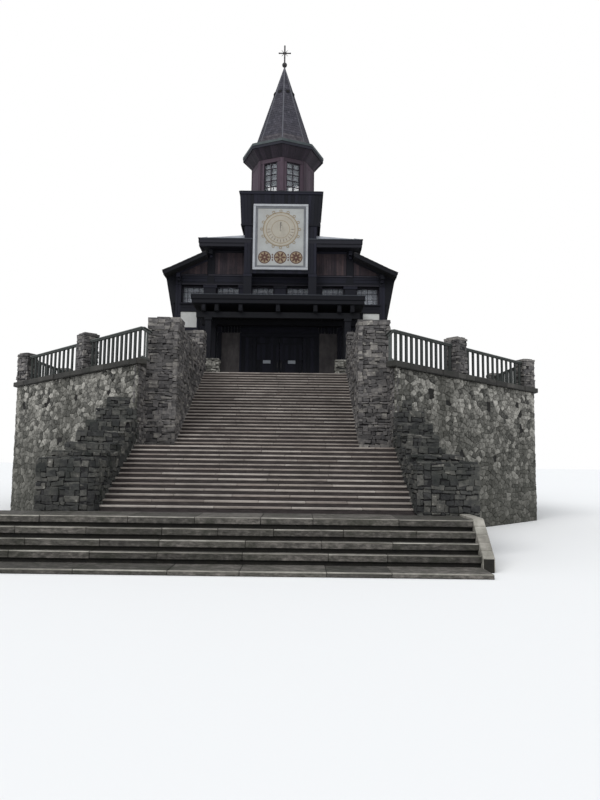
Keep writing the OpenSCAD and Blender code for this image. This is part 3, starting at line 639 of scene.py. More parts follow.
def base_slabs():
    """Thick slabs with a pale top edge over a darker face; the pale edge is partly wear and partly a painted
    highlight.
    """
    pile = Pile(12)
    left, right = -7.9, 5.85
    for i, (y, deep) in enumerate(((BASE_Y - 0.75 - 1.0, 0.98), (BASE_Y - 0.75, 0.24), (BASE_Y - 0.5, 0.24),
                                   (BASE_Y - 0.25, 0.24), (BASE_Y, 1.45))):
        z = 0.1 + i * 0.27
        for x, run in runs(pile.chance, left, right, 1.3, 2.4, 0.8):
            dip = pile.chance.uniform(-0.006, 0.008)
            # the slab stands wholly in front of and over the node's face, so none of that face shows through
            pile.box((x + 0.006, y - 0.02 + dip, max(0.008, z - 0.155)),
                     (x + run - 0.006, y + deep, z + 0.014 + dip / 2), 0.005, material=1)
            # a thin pale strip along the top edge: partly wear, partly a painted highlight
            pile.box((x + 0.006, y - 0.032 + dip, z - 0.01), (x + run - 0.006, y + 0.02, z + 0.021 + dip / 2), 0.004)
    # the sloping curb at the right-hand end
    side = face((5.86 + 0.25, 0), (0, 1))
    foot, head = BASE_Y - 0.9, BASE_Y + 0.06
    slope = (FOOT + 0.05 - 0.33) / (head - foot)
    parts = 5
    for k in range(parts):
        a, b = foot + (head - foot) * k / parts, foot + (head - foot) * (k + 1) / parts
        pile.on(side, a + 0.006, b - 0.006, 0.02, 1.0, -0.27, 0.025, head=lambda u: 0.35 + slope * (u - foot))
    for a, b in ((head + 0.005, head + 0.7), (head + 0.71, CHEEK_Y - 0.045)):
        pile.on(side, a, b, 0.02, FOOT + 0.07, -0.27, 0.025)
    pile.keep("base_slabs", "base_edge base_face", "stair_stone", ease=0.016)


tread_slabs()
base_slabs()


# ---------------------------------------------------------------- stair walls
def arc(centre, r, a0, a1, count):
    return [(centre[0] + r * math.cos(math.radians(a0 + (a1 - a0) * i / count)),
             centre[1] + r * math.sin(math.radians(a0 + (a1 - a0) * i / count))) for i in range(count + 1)]


# where each step of the wall begins, its top over the foot, and its setback on the left and on the right
CHEEK_STEPS = [(0.0, 1.49, 0.0, 0.0), (1.0, 1.70, 0.0, 0.20), (2.0, 1.98, 0.07, 0.48), (2.9, 2.40, 0.08, 0.51),
               (3.7, 2.83, 0.08, 0.54)]
WEDGE_STEPS = [(0.0, 3.30, 0.25, 0.70), (0.28, 3.73, 0.52, 1.13)]
CHEEK_ROUND = 0.40


def lower_walls(side):
    """Stepped walls beside the lower flight, and the wedge between each and the terrace's front wall."""
    pile = Pile(21 if side < 0 else 22)
    wide = 1.65 if side < 0 else 1.75
    inner = LOWER_HALF
    below = 0.0
    steps = [(run, FOOT + top, wide - (left if side < 0 else right))
             for run, top, left, right in CHEEK_STEPS + WEDGE_STEPS]
    for i, (run, top, w) in enumerate(steps):
        cheek = i < len(CHEEK_STEPS)
        if cheek:
            y = CHEEK_Y + run
            path = [(inner + w, SPLAY_Y + w), (inner + w, y)]
            path += arc((inner + CHEEK_ROUND, y + CHEEK_ROUND), CHEEK_ROUND, 270, 180, 3)
            path.append((inner, SPLAY_Y + 0.3))
        else:
            path = [(inner + w, SPLAY_Y + w), (inner + w, SPLAY_Y + run), (inner + run, SPLAY_Y + run)]
            if run == 0:
                path.append((inner, SPLAY_Y + 0.02))
        lay_courses(pile, flipped(side, path[::-1]), below, top, length=0.27, proud=0.045, rough=0.022)
        below = top - 0.05
        if cheek:
            following, _, ahead = steps[i + 1]
            end = CHEEK_Y + following if i + 1 < len(CHEEK_STEPS) else SPLAY_Y + 0.1
            x, y = inner + 0.04, CHEEK_Y + run + 0.03
            if i == 0:
                x, y = inner + 0.12, y + 0.08
            side_cap(pile, side, x, inner + w, y, end + 0.1, top, size=0.34)
            # stones on the ledge that the setback of the next step leaves
            if w - ahead > 0.15:
                side_cap(pile, side, inner + ahead + 0.02, inner + w, end, SPLAY_Y + ahead, top, size=0.3)
        else:
            strips = 4
            for k in range(strips):
                x0 = inner + run + (w - run) * k / strips
                x1 = inner + run + (w - run) * (k + 1) / strips
                y0, y1 = SPLAY_Y + run, SPLAY_Y + (x0 - inner) + 0.08
                if y1 - y0 > 0.15:
                    side_cap(pile, side, x0, x1, y0, y1, top, size=0.3, over=0.0)
    pile.keep("stair_wall_stones_" + label(side), "mossy_rubble", "cheek_stone", ease=0.024)


def upper_walls(side):
    """Walls beside the upper flight, the higher pier at its head and the leaning pier at the landing."""
    pile = Pile(31 if side < 0 else 32)
    look = dict(length=0.27, course=0.125, proud=0.035, rough=0.021)

    def courses(path, z0, z1):
        lay_courses(pile, flipped(side, path), z0, z1, **look)

    def pier(x0, x1, y0, y1, z0, z1):
        lay_courses(pile, flipped(side, corners(x0, x1, y0, y1)), z0, z1, closed=True, **look)

    inner, outer = UPPER_HALF, UPPER_HALF + 0.88
    y0, y1 = UPPER_Y + 1.2, 0.4
    top, high_top = HEAD + 0.9, HEAD + 1.87
    courses([(inner, y1), (inner, UPPER_Y + 0.02)], LANDING - 0.05, top)
    courses([(outer, y0), (outer, y1)], TERRACE, top)
    side_cap(pile, side, inner, outer, y0, y1 - 0.9, top)
    pier(inner, outer, y1 - 0.9, y1, top - 0.02, high_top)
    side_cap(pile, side, inner, outer, y1 - 0.9, y1, high_top, size=0.5, thick=0.14, over=0.06)
    # the end of the terrace wall between the stair wall and the landing pier
    courses([(LOWER_HALF, UPPER_Y), (LOWER_HALF, SPLAY_Y + 0.02)], LANDING, TERRACE - 0.2)
    foot, shoulder, head = LANDING, LANDING + 0.9, HEAD + 1.2
    pier(inner, LOWER_HALF, UPPER_Y, UPPER_Y + 1.2, foot - 0.4, shoulder)
    levels, lean = 14, 0.38
    for i in range(levels):
        pier(inner, LOWER_HALF, UPPER_Y + lean * i / levels, UPPER_Y + 1.2,
             shoulder + (head - shoulder) * i / levels, shoulder + (head - shoulder) * (i + 1) / levels)
    side_cap(pile, side, inner, LOWER_HALF, UPPER_Y + lean, UPPER_Y + 1.2, head, size=0.5, thick=0.13, over=0.05)
    pile.keep("pier_stones_" + label(side), "dark_rubble", "cheek_stone", ease=0.022)


for side in (-1, 1):
    lower_walls(side)
    upper_walls(side)

# ---------------------------------------------------------------- terrace
splay_a, splay_b = Vector((LOWER_HALF, SPLAY_Y)), Vector((HALF, CORNER_Y))
side_b = Vector((HALF, REAR - SPLAY))
rear_b = Vector((HALF - SPLAY, REAR))
# along the wall and up, on the right-hand front wall and on the left-hand one
WEEP_RIGHT = [(2.32, 5.37), (3.52, 5.11), (6.82, 5.18), (9.36, 5.45), (9.63, 4.91), (4.46, 3.14), (7.18, 2.84),
              (9.71, 4.25)]
WEEP_LEFT = [(1.99, 5.28), (4.67, 5.22), (7.61, 5.18), (10.19, 5.13), (6.19, 3.46)]


def mirror_point(p):
    return Vector((-p.x, p.y))


def terrace_faces():
    top = TERRACE - 0.2
    walls = [("front_wall_stones", splay_a, splay_b, 0.2), ("side_wall_stones", splay_b, side_b, 0.34),
             ("corner_wall_stones", side_b, rear_b, 0.34)]
    for side in (1, -1):
        for k, (name, p, q, cell) in enumerate(walls):
            long = (q - p).length
            holes = []
            if k == 0:
                holes = WEEP_RIGHT if side > 0 else [(long - u, z) for u, z in WEEP_LEFT]
            if side < 0:
                p, q = mirror_point(q), mirror_point(p)
            stone_cells(name + "_" + label(side), face(p, q - p), long, top, cell, "pale_rubble weep_dark",
                        41 + 10 * k + side, holes)
    stone_cells("rear_wall_stones", face(rear_b, (-1, 0)), 2 * rear_b.x, top, 0.34, "pale_rubble weep_dark", 75)


def offset_point(which, o):
    """A corner of the terrace's edge, o outside the walls."""
    if which == "start":
        return Vector((LOWER_HALF, SPLAY_Y - o * math.sqrt(2)))
    if which == "front":
        return Vector((HALF + o, CORNER_Y - o * TURN))
    if which == "side":
        return Vector((HALF + o, REAR - SPLAY + o * TURN))
    return Vector((HALF - SPLAY + o * TURN, REAR + o))


def ledge_slabs():
    pile = Pile(61)
    points = [offset_point(which, 0.19) for which in ("start", "front", "side", "rear")]
    lines = list(zip(points, points[1:]))
    lines += [(mirror_point(q), mirror_point(p)) for p, q in lines] + [(points[-1], mirror_point(points[-1]))]
    for p, q in lines:
        wall = face(p, q - p)
        for u, run in runs(pile.chance, 0.0, (q - p).length, 0.6, 1.2, 0.4):
            push = pile.chance.uniform(-0.02, 0.02)
            lift = pile.chance.uniform(-0.012, 0.012)
            pile.on(wall, u + 0.004, u + run - 0.004, TERRACE - 0.19, TERRACE + 0.01 + lift, -0.46, push,
                    jitter=0.008)
    # the ledge stones take the dark finish that is partly painted shade under the ledge
    pile.keep("ledge_slabs", "ledge_stone", "cheek_stone", ease=0.016)


def terrace_paving():
    """Flags on the terrace, round the chapel's plinth and the notch of the stair."""
    notch = UPPER_Y + 1.25

    def inside(at):
        x, y = abs(at.x - HALF), at.y + SPLAY_Y
        if x < PLINTH + 0.05 and PLINTH_FRONT < y < PLINTH_BACK:
            return True
        return (x < 4.45 and y < 0.55) or (x < 4.75 and y < notch)

    def limits(at):
        x, y = abs(at.x - HALF), at.y + SPLAY_Y
        sign = 1 if at.x > HALF else -1
        slant = math.sqrt(0.5)
        cuts = [(HALF - 0.4, 0, 1, 0), (LOWER_HALF, SPLAY_Y + 0.55, slant, -slant), (0, REAR - 0.4, 0, 1),
                (HALF - SPLAY, REAR - 0.55, slant, slant)]
        if y > PLINTH_BACK:
            cuts.append((0, PLINTH_BACK + 0.02, 0, -1))
        elif y > PLINTH_FRONT and x > PLINTH:
            cuts.append((PLINTH + 0.02, 0, -1, 0))
        elif y < PLINTH_FRONT and x > 4.75:
            cuts.append((4.7, 0, -1, 0))
            if x < PLINTH + 0.3:
                cuts.append((0, PLINTH_FRONT - 0.02, 0, 1))
        elif y < PLINTH_FRONT:
            cuts += [(4.4, 0, -1, 0), (0, PLINTH_FRONT - 0.02, 0, 1), (0, notch, 0, -1)]
        return [(Vector((HALF + sign * px, py - SPLAY_Y, 0)), Vector((sign * nx, ny, 0))) for px, py, nx, ny in cuts]

    place = Matrix.Translation((-HALF, SPLAY_Y, TERRACE))
    stone_cells("terrace_flags", place, 2 * HALF, REAR - SPLAY_Y, 0.62, "paving weep_dark", 81, block=inside,
                limits=limits, gap=0.02, relief=0.012, sunk=0.02, round_in=0.012, wide=1.2)


def plinth_stones():
    """The raised floor in front of the chapel and a strip of flags round its walls."""
    pile = Pile(82)
    for low, high, size in (((-6.2, 0.42), (6.2, 4.74), 0.75), ((-6.22, 4.78), (-6.0, 17.05), 0.6),
                            ((6.0, 4.78), (6.22, 17.05), 0.6), ((-5.96, 16.86), (5.96, 17.06), 0.6)):
        lay_cap(pile, low, high, HEAD - 0.018, size=size, thick=0.04, over=0.0)
    # the doors swing over these flags, with 6 mm under the leaves
    for v in pile.bm.verts:
        if abs(v.co.x) < 3.0 and 2.5 < v.co.y < 4.8:
            v.co.z = min(v.co.z, HEAD + 0.004)
    front = face((0, PLINTH_FRONT), (1, 0))
    for wall, u0, u1 in ((face((PLINTH, 0), (0, 1)), PLINTH_FRONT, PLINTH_BACK),
                         (face((-PLINTH, 0), (0, -1)), -PLINTH_BACK, -PLINTH_FRONT),
                         (face((0, PLINTH_BACK), (-1, 0)), -PLINTH, PLINTH), (front, -PLINTH, -4.45),
                         (front, 4.45, PLINTH)):
        for u, run in runs(pile.chance, u0, u1, 0.4, 0.8, 0.25):
            for k in range(3):
                pile.on(wall, u + 0.005, u + run - 0.005, TERRACE + 0.2 * k + 0.01, TERRACE + 0.2 * (k + 1) - 0.012,
                        -0.05, 0.025, jitter=0.008)
    pile.keep("plinth_stones", "paving", "wall_stone", ease=0.01)


terrace_faces()
ledge_slabs()
terrace_paving()
plinth_stones()


# ---------------------------------------------------------------- railing
def railing_lines():
    return (offset_point(w, -0.35) for w in ("start", "front", "side", "rear"))


def pier_stones():
    """Square piers along the railing, each with a wide cap stone and a smaller one on it."""
    a, b, c, d = railing_lines()
    usual = 1.45
    spots = []
    for side in (1, -1):
        for p, angle, top in ((a.lerp(b, 0.41), 45, 1.6), (b, 22.5, usual), (b.lerp(c, 1 / 3), 0, usual),
                              (b.lerp(c, 2 / 3), 0, usual), (c, 22.5, usual), (d, -22.5, usual)):
            spots.append((p if side > 0 else mirror_point(p), side * angle, top))
    spots += [(d.lerp(mirror_point(d), t), 0, usual) for t in (1 / 3, 2 / 3)]
    pile = Pile(71)
    for p, angle, top in spots:
        turn = Matrix.Rotation(math.radians(angle), 2)
        h = 0.31
        lay_courses(pile, [p + turn @ Vector(corner) for corner in corners(-h, h, -h, h)], TERRACE,
                    TERRACE + top - 0.11, closed=True, length=0.28, course=0.12, depth=0.12, proud=0.028, rough=0.016)
        for size, z, thick in ((0.7, top - 0.085, 0.09), (0.56, top - 0.02, 0.07)):
            spot = Matrix.Rotation(math.radians(angle), 4, "Z")
            spot.translation = flat(p, TERRACE + z)
            for ax in (-0.25, 0.25):
                half = spot @ Matrix.Translation((ax * size, pile.chance.uniform(-0.01, 0.01), 0))
                pile.block(half, (size / 2 - 0.006, size, thick), 0.014)
    pile.keep("railing_pier_stones", "dark_rubble", "cheek_stone", ease=0.02)


def rail_caps():
    """A weathered board on top of every railing panel, and the whole short panel at each side of the stair."""
    a, b, c, d = railing_lines()
    pile = Pile(72)
    z = TERRACE + 1.27
    reach = 0.34
    thirds = (0, 1 / 3, 2 / 3, 1)
    lines = []
    for side in (1, -1):
        for p, q, cuts in ((a, b, (0, 0.41, 1)), (b, c, thirds), (c, d, (0, 1))):
            for t0, t1 in zip(cuts, cuts[1:]):
                lines.append((p.lerp(q, t0), p.lerp(q, t1), t0 == 0 and p == a, side))
    for t0, t1 in zip(thirds, thirds[1:]):
        lines.append((d.lerp(mirror_point(d), t0), d.lerp(mirror_point(d), t1), False, 1))
    for p, q, free, side in lines:
        along = (q - p).normalized()
        p = p + along * (0.0 if free else reach)
        q = q - along * reach
        if side < 0:
            p, q = mirror_point(p), mirror_point(q)
        pile.bar(flat(p, z + 0.006), flat(q, z + 0.006), 0.15, 0.035)
    start = offset_point("start", -0.35)
    for side in (-1, 1):
        p, q = Vector((side * start.x, start.y + 0.02)), Vector((side * (LOWER_HALF - 0.08), UPPER_Y + 0.3))
        for level, wide, thick in ((z + 0.006, 0.15, 0.035), (z - 0.06, 0.06, 0.09), (TERRACE + 0.16, 0.06, 0.09)):
            pile.bar(flat(p, level), flat(q, level), wide, thick)
        for t in (0.3, 0.6):
            at = p.lerp(q, t)
            pile.bar(flat(at, TERRACE + 0.12), flat(at, z - 0.04), 0.07, 0.045, (0, 1, 0))
    pile.keep("rail_caps", "rail_top", "grey_wood", ease=0.006)


pier_stones()
rail_caps()


# ---------------------------------------------------------------- chapel walls
front_face = face((0, FRONT), (1, 0))
rear_face = face((0, BACK), (-1, 0))
right_face = face((BODY, 0), (0, 1))
left_face = face((-BODY, 0), (0, -1))
POST_GAP = (2 * (BODY - CORNER_POST) - 6 * WINDOW) / 5
PITCH = WINDOW + POST_GAP
SIDE_PITCH = (BACK - FRONT - CORNER_POST) / 6


def aisle_under(x):
    """Height of the aisle roof's underside."""
    return AISLE_TOP - 0.23 - (abs(x) - NAVE) * AISLE_SLOPE


def front_windows():
    """Left edges of the six openings of an end wall."""
    return [-(BODY - CORNER_POST) + i * PITCH for i in range(6)]


def side_windows():
    """Both edges of the six openings of a side wall; the end ones reach to the corner posts."""
    first = FRONT + CORNER_POST
    return [(first if i == 0 else FRONT + CORNER_POST / 2 + i * SIDE_PITCH + POST_GAP / 2,
             BACK - CORNER_POST if i == 5 else FRONT + CORNER_POST / 2 + (i + 1) * SIDE_PITCH - POST_GAP / 2)
            for i in range(6)]


def end_wall(wall, front):
    """Boards, rails and mouldings of an end wall; u runs from -BODY to BODY."""
    end = "front" if front else "rear"
    dark = Pile(101 if front else 102)
    red = Pile(103 if front else 104)
    inner = BELFRY + 0.03 if front else 0.0
    low, high = HEAD + 0.02, HEAD + 2.93
    for s in (-1, 1):
        def on(a, b, *sizes):
            dark.on(wall, *mirrored(s, a, b), *sizes)

        def boards(pile, a, b, *sizes, **more):
            pile.boards(wall, *mirrored(s, a, b), *sizes, **more)

        if front:
            boards(dark, 2.2, 4.66, high, PLASTER_TOP, 0, 0.035)
            boards(dark, 3.32, 4.66, low, high, 0, 0.035)
            on(3.26, 3.34, low, high, 0, 0.06)
            on(JAMB, PLASTER_EDGE, low, high, 0, 0.06)
        else:
            on(0.02, 5.62, low, HEAD + 0.3, 0, 0.03)
            for u in (0.95, 2.85):
                on(u - 0.07, u + 0.07, HEAD + 0.3, PLASTER_TOP, 0, 0.05)
        on(4.6 if front else 0.0, 5.7, RAIL, RAIL_TOP, 0, 0.08)
        on(4.6, 4.7, RAIL_TOP if front else HEAD + 0.3, PLASTER_TOP, 0, 0.06)
        boards(dark, 5.62, 5.95, low, WINDOW_TOP, 0, 0.03, width=0.16)
        # gable panels between dark framing
        boards(red, inner, 3.74, HEAD + 6.3, SOFFIT - 0.14, 0, 0.03, width=0.14)
        on(BELFRY + 0.01 if front else 0.0, 3.75, SOFFIT - 0.14, SOFFIT - 0.01, 0, 0.06)
        boards(red, 4.17, 5.62, HEAD + 6.3, 0, 0, 0.03, width=0.14, head=lambda u: aisle_under(u) - 0.1)
        boards(dark, 5.62, 5.95, WINDOW_TOP + 0.01, 0, 0, 0.045, width=0.165, head=lambda u: aisle_under(u) - 0.02)
        way = s if front else -s
        start = Vector((way * (NAVE + 0.02), FRONT - 0.03 if front else BACK + 0.03, aisle_under(NAVE) - 0.06))
        rake = Vector((way * (5.9 - NAVE), 0, aisle_under(5.9) - aisle_under(NAVE)))
        dark.bar(start, start + rake, 0.11, 0.06, (0, 1, 0))
        # carved ends of the purlins under the roof
        for x, z in ((NAVE - 0.2, SOFFIT - 0.32), (BODY - 0.2, aisle_under(BODY) - 0.3)):
            on(x - 0.1, x + 0.1, z, z + 0.24, 0, 0.42 if front else 0.5)
            on(x - 0.08, x + 0.08, z - 0.16, z, 0, 0.24)
    for a, b in zip(front_windows(), front_windows()[1:]):
        middle = (a + WINDOW + b) / 2
        for more, v0, v1, w in ((-0.02, SILL, WINDOW_TOP, 0.07), (0.05, WINDOW_TOP - 0.16, WINDOW_TOP, 0.1),
                                (0.05, SILL, SILL + 0.1, 0.1)):
            dark.on(wall, middle - POST_GAP / 2 - more, middle + POST_GAP / 2 + more, v0, v1, 0, w)
    dark.rows(wall, -5.6, 5.6, WINDOW_TOP + 0.02, GABLE_FOOT, 0, 0.04, width=0.17)
    dark.rows(wall, -5.62, 5.62, PLASTER_TOP + 0.02, SILL - 0.08, 0, 0.05, width=0.22)
    dark.on(wall, -5.7, 5.7, SILL - 0.08, SILL, -0.02, 0.11)
    dark.keep("dark_boards_" + end, "tarred_timber", "timber", ease=0.008)
    red.keep("gable_boards_" + end, "red_boards", "timber", ease=0.006)
    trim = Pile(105)
    for s in (-1, 1):
        for a, b, w in ((inner, 4.1, 0.09), (4.17, 5.75, 0.075)):
            trim.on(wall, *mirrored(s, a, b), GABLE_FOOT, HEAD + 6.26, 0, w)
    if front:
        trim.on(wall, -inner, inner, WINDOW_TOP + 0.46, WINDOW_TOP + 0.5, 0, 0.09)
    trim.on(wall, -5.6, 5.6, WINDOW_TOP + 0.02, WINDOW_TOP + 0.06, 0.03, 0.09)
    trim.keep("mouldings_" + end, "moulding_wood", "timber", ease=0.008)


def long_wall(wall, side):
    """Boards and rails of a side wall."""
    dark = Pile(111 if side > 0 else 112)
    corner = 0.34
    a0, a1 = mirrored(side, FRONT, BACK)
    dark.on(wall, a0 + corner, a1 - corner, RAIL, RAIL_TOP, 0, 0.08)
    dark.on(wall, a0, a1, HEAD + 0.02, HEAD + 0.3, 0, 0.03)
    dark.rows(wall, a0, a1, PLASTER_TOP + 0.02, SILL - 0.08, 0, 0.04, width=0.22)
    dark.on(wall, a0, a1, SILL - 0.08, SILL, -0.02, 0.1)
    for s0, s1 in ((a0, a0 + corner), (a1 - corner, a1)):
        for v0, v1 in ((HEAD + 0.3, SILL - 0.1), (SILL, aisle_under(BODY) - 0.02)):
            dark.boards(wall, s0, s1, v0, v1, 0.0, 0.03, width=0.17)
    opens = side_windows()
    for (_, end), (start, _) in zip(opens, opens[1:]):
        u0, u1 = mirrored(side, end, start)
        dark.on(wall, u0 + 0.02, u1 - 0.02, SILL, WINDOW_TOP, 0, 0.06)
        dark.on(wall, u0 - 0.04, u1 + 0.04, WINDOW_TOP - 0.16, WINDOW_TOP, 0, 0.09)
        dark.on(wall, (u0 + u1) / 2 - 0.07, (u0 + u1) / 2 + 0.07, HEAD + 0.3, PLASTER_TOP, 0, 0.05)
    dark.rows(wall, a0 + corner, a1 - corner, WINDOW_TOP + 0.02, aisle_under(BODY) - 0.03, 0, 0.035, width=0.2)
    dark.keep("dark_boards_" + label(side), "tarred_timber", "timber", ease=0.008)


def casements():
    """Frames with thin bars in every window, and a pale curtain behind the glass of each."""
    frames = Pile(121)
    edge = 0.06

    def frame_in(wall, u0, u1, columns):
        v0, v1 = SILL + 0.01, WINDOW_TOP - 0.01
        w0, w1 = -0.3, -0.24
        for a, b in ((u0, u0 + edge), (u1 - edge, u1)):
            frames.on(wall, a, b, v0, v1, w0, w1)
        for a, b in ((v0, v0 + edge), (v1 - edge, v1)):
            frames.on(wall, u0 + edge, u1 - edge, a, b, w0, w1)
        for k in range(1, columns):
            u = u0 + (u1 - u0) * k / columns
            frames.on(wall, u - 0.015, u + 0.015, v0 + edge, v1 - edge, w0 + 0.01, w1 - 0.01)
        for k in (1, 2):
            v = v0 + (v1 - v0) * k / 3
            frames.on(wall, u0 + edge, u1 - edge, v - 0.012, v + 0.012, w0 + 0.014, w1 - 0.014)

    for wall, end in ((front_face, "front"), (rear_face, "rear")):
        for k, u in enumerate(front_windows()):
            frame_in(wall, u + 0.005, u + 1.295, 4)
            curtain(wall, u - 0.02, u + 1.32, "curtain_%s_%d" % (end, k + 1), 200 + k)
    for wall, side in ((right_face, 1), (left_face, -1)):
        for k, (a, b) in enumerate(side_windows()):
            u0, u1 = mirrored(side, a, b)
            frame_in(wall, u0 + 0.005, u1 - 0.005, 5)
            curtain(wall, u0 - 0.02, u1 + 0.02, "curtain_%s_%d" % (label(side), k + 1), 210 + k)
    frames.keep("casement_bars", "moulding_wood", "timber", ease=0.004)


def curtain(wall, u0, u1, name, seed):
    """A thin curtain with shallow folds, hung from a rail over the window."""
    chance = random.Random(seed)
    bm = bmesh.new()
    long, high = u1 - u0, 1.16
    bmesh.ops.create_grid(bm, x_segments=36, y_segments=6, size=0.5)
    turn = chance.uniform(0, 6)
    for v in bm.verts:
        u = v.co.x
        drop = 0.5 - v.co.y
        v.co = Vector((u0 + (u + 0.5) * long, SILL - 0.05 + (v.co.y + 0.5) * high,
                       -0.47 + 0.016 * (0.6 + 0.5 * drop) * math.sin(u * 46 + turn + 0.8 * math.sin(u * 9))))
    bmesh.ops.transform(bm, matrix=wall, verts=bm.verts[:])
    piece = keep_outward(bm, name, "pale_cloth")
    smooth(piece)


def curtain_rails():
    pile = Pile(131)
    for wall, a0, a1 in ((front_face, -5.5, 5.5), (rear_face, -5.5, 5.5), (right_face, FRONT + 0.5, BACK - 0.5),
                         (left_face, -BACK + 0.5, -FRONT - 0.5)):
        pile.on(wall, a0, a1, SILL + 1.09, SILL + 1.115, -0.482, -0.458)
    pile.keep("curtain_rails", "moulding_wood", "timber")


def plaster_patches():
    """Plaster beside the doorway, inside the portico, painted dark as the shade under the portico roof."""
    for s in (-1, 1):
        a, b = mirrored(s, PLASTER_EDGE, 3.27)
        bm = bmesh.new()
        bmesh.ops.create_grid(bm, x_segments=8, y_segments=20, size=0.5)
        chance = random.Random(140 + s)
        for v in bm.verts:
            edge = abs(v.co.x) > 0.49 or abs(v.co.y) > 0.49
            v.co = Vector((a + (v.co.x + 0.5) * (b - a), HEAD + 0.01 + (v.co.y + 0.5) * 2.92,
                           0.02 + (0 if edge else chance.uniform(-0.003, 0.003))))
        made = bmesh.ops.extrude_face_region(bm, geom=bm.faces[:], use_keep_orig=True)["geom"]
        for g in made:
            if isinstance(g, bmesh.types.BMVert):
                g.co.z = -0.005
        bmesh.ops.transform(bm, matrix=front_face, verts=bm.verts[:])
        # the patches carry painted shade for the shade under the portico roof
        keep_outward(bm, "soiled_plaster_" + label(s), "shade_painted_plaster")


end_wall(front_face, True)
end_wall(rear_face, False)
long_wall(right_face, 1)
long_wall(left_face, -1)
curtain_rails()
casements()
plaster_patches()


# ---------------------------------------------------------------- doorway
def doorway():
    """Boards round the doorway, and the boards, notice plate and pull of each leaf."""
    pile = Pile(151)
    for s in (-1, 1):
        pile.boards(front_face, *mirrored(s, 1.31, JAMB), HEAD + 0.02, HEAD + 2.69, 0, 0.03, width=0.2)
    pile.rows(front_face, -2.2, 2.2, HEAD + 2.72, PLASTER_TOP, 0, 0.035, width=0.23)
    pile.on(front_face, -PLASTER_EDGE, PLASTER_EDGE, HEAD + 2.705, HEAD + 2.86, 0.02, 0.08)
    pile.keep("doorway_boards", "tarred_timber", "timber", ease=0.008)
    straps = [DOOR_H * t for t in (0.14, 0.5, 0.86)]
    cuts = [0.012] + [e for z in straps for e in (z - 0.04, z + 0.04)] + [2.688]
    for s, body in ((-1, "door_left"), (1, "door_right")):
        leaf = Pile(152)
        for z0, z1 in zip(cuts[0::2], cuts[1::2]):
            leaf.boards(front_face, *mirrored(s, 0.02, 1.27), HEAD + z0 + 0.004, HEAD + z1 - 0.004, -0.002, 0.009,
                        width=0.16)
        for z in straps:
            leaf.boards(front_face, *mirrored(s, 0.02, 0.585), HEAD + z - 0.035, HEAD + z + 0.035, -0.002, 0.006,
                        width=0.16)
        leaf.keep("door_boards_" + label(s), "tarred_timber", "timber", ease=0.003, body=body)
        plate = Pile(153)
        plate.on(front_face, *mirrored(s, 0.49, 0.91), HEAD + 1.2, HEAD + 1.38, 0.009, 0.018)
        plate.keep("notice_plate_" + label(s), "notice_white", "plaster", ease=0.003, body=body)
        pull = Pile(154)
        for a, b, v0, v1, w0, w1 in ((0.09, 0.11, 0.98, 1.22, 0.045, 0.062), (0.09, 0.11, 0.99, 1.01, 0.005, 0.05),
                                     (0.09, 0.11, 1.19, 1.21, 0.005, 0.05), (0.075, 0.125, 0.94, 1.26, 0.008, 0.012)):
            pull.on(front_face, *mirrored(s, a, b), HEAD + v0, HEAD + v1, w0, w1)
        pull.keep("door_pull_" + label(s), "wrought_iron", "iron", ease=0.002, body=body)


doorway()


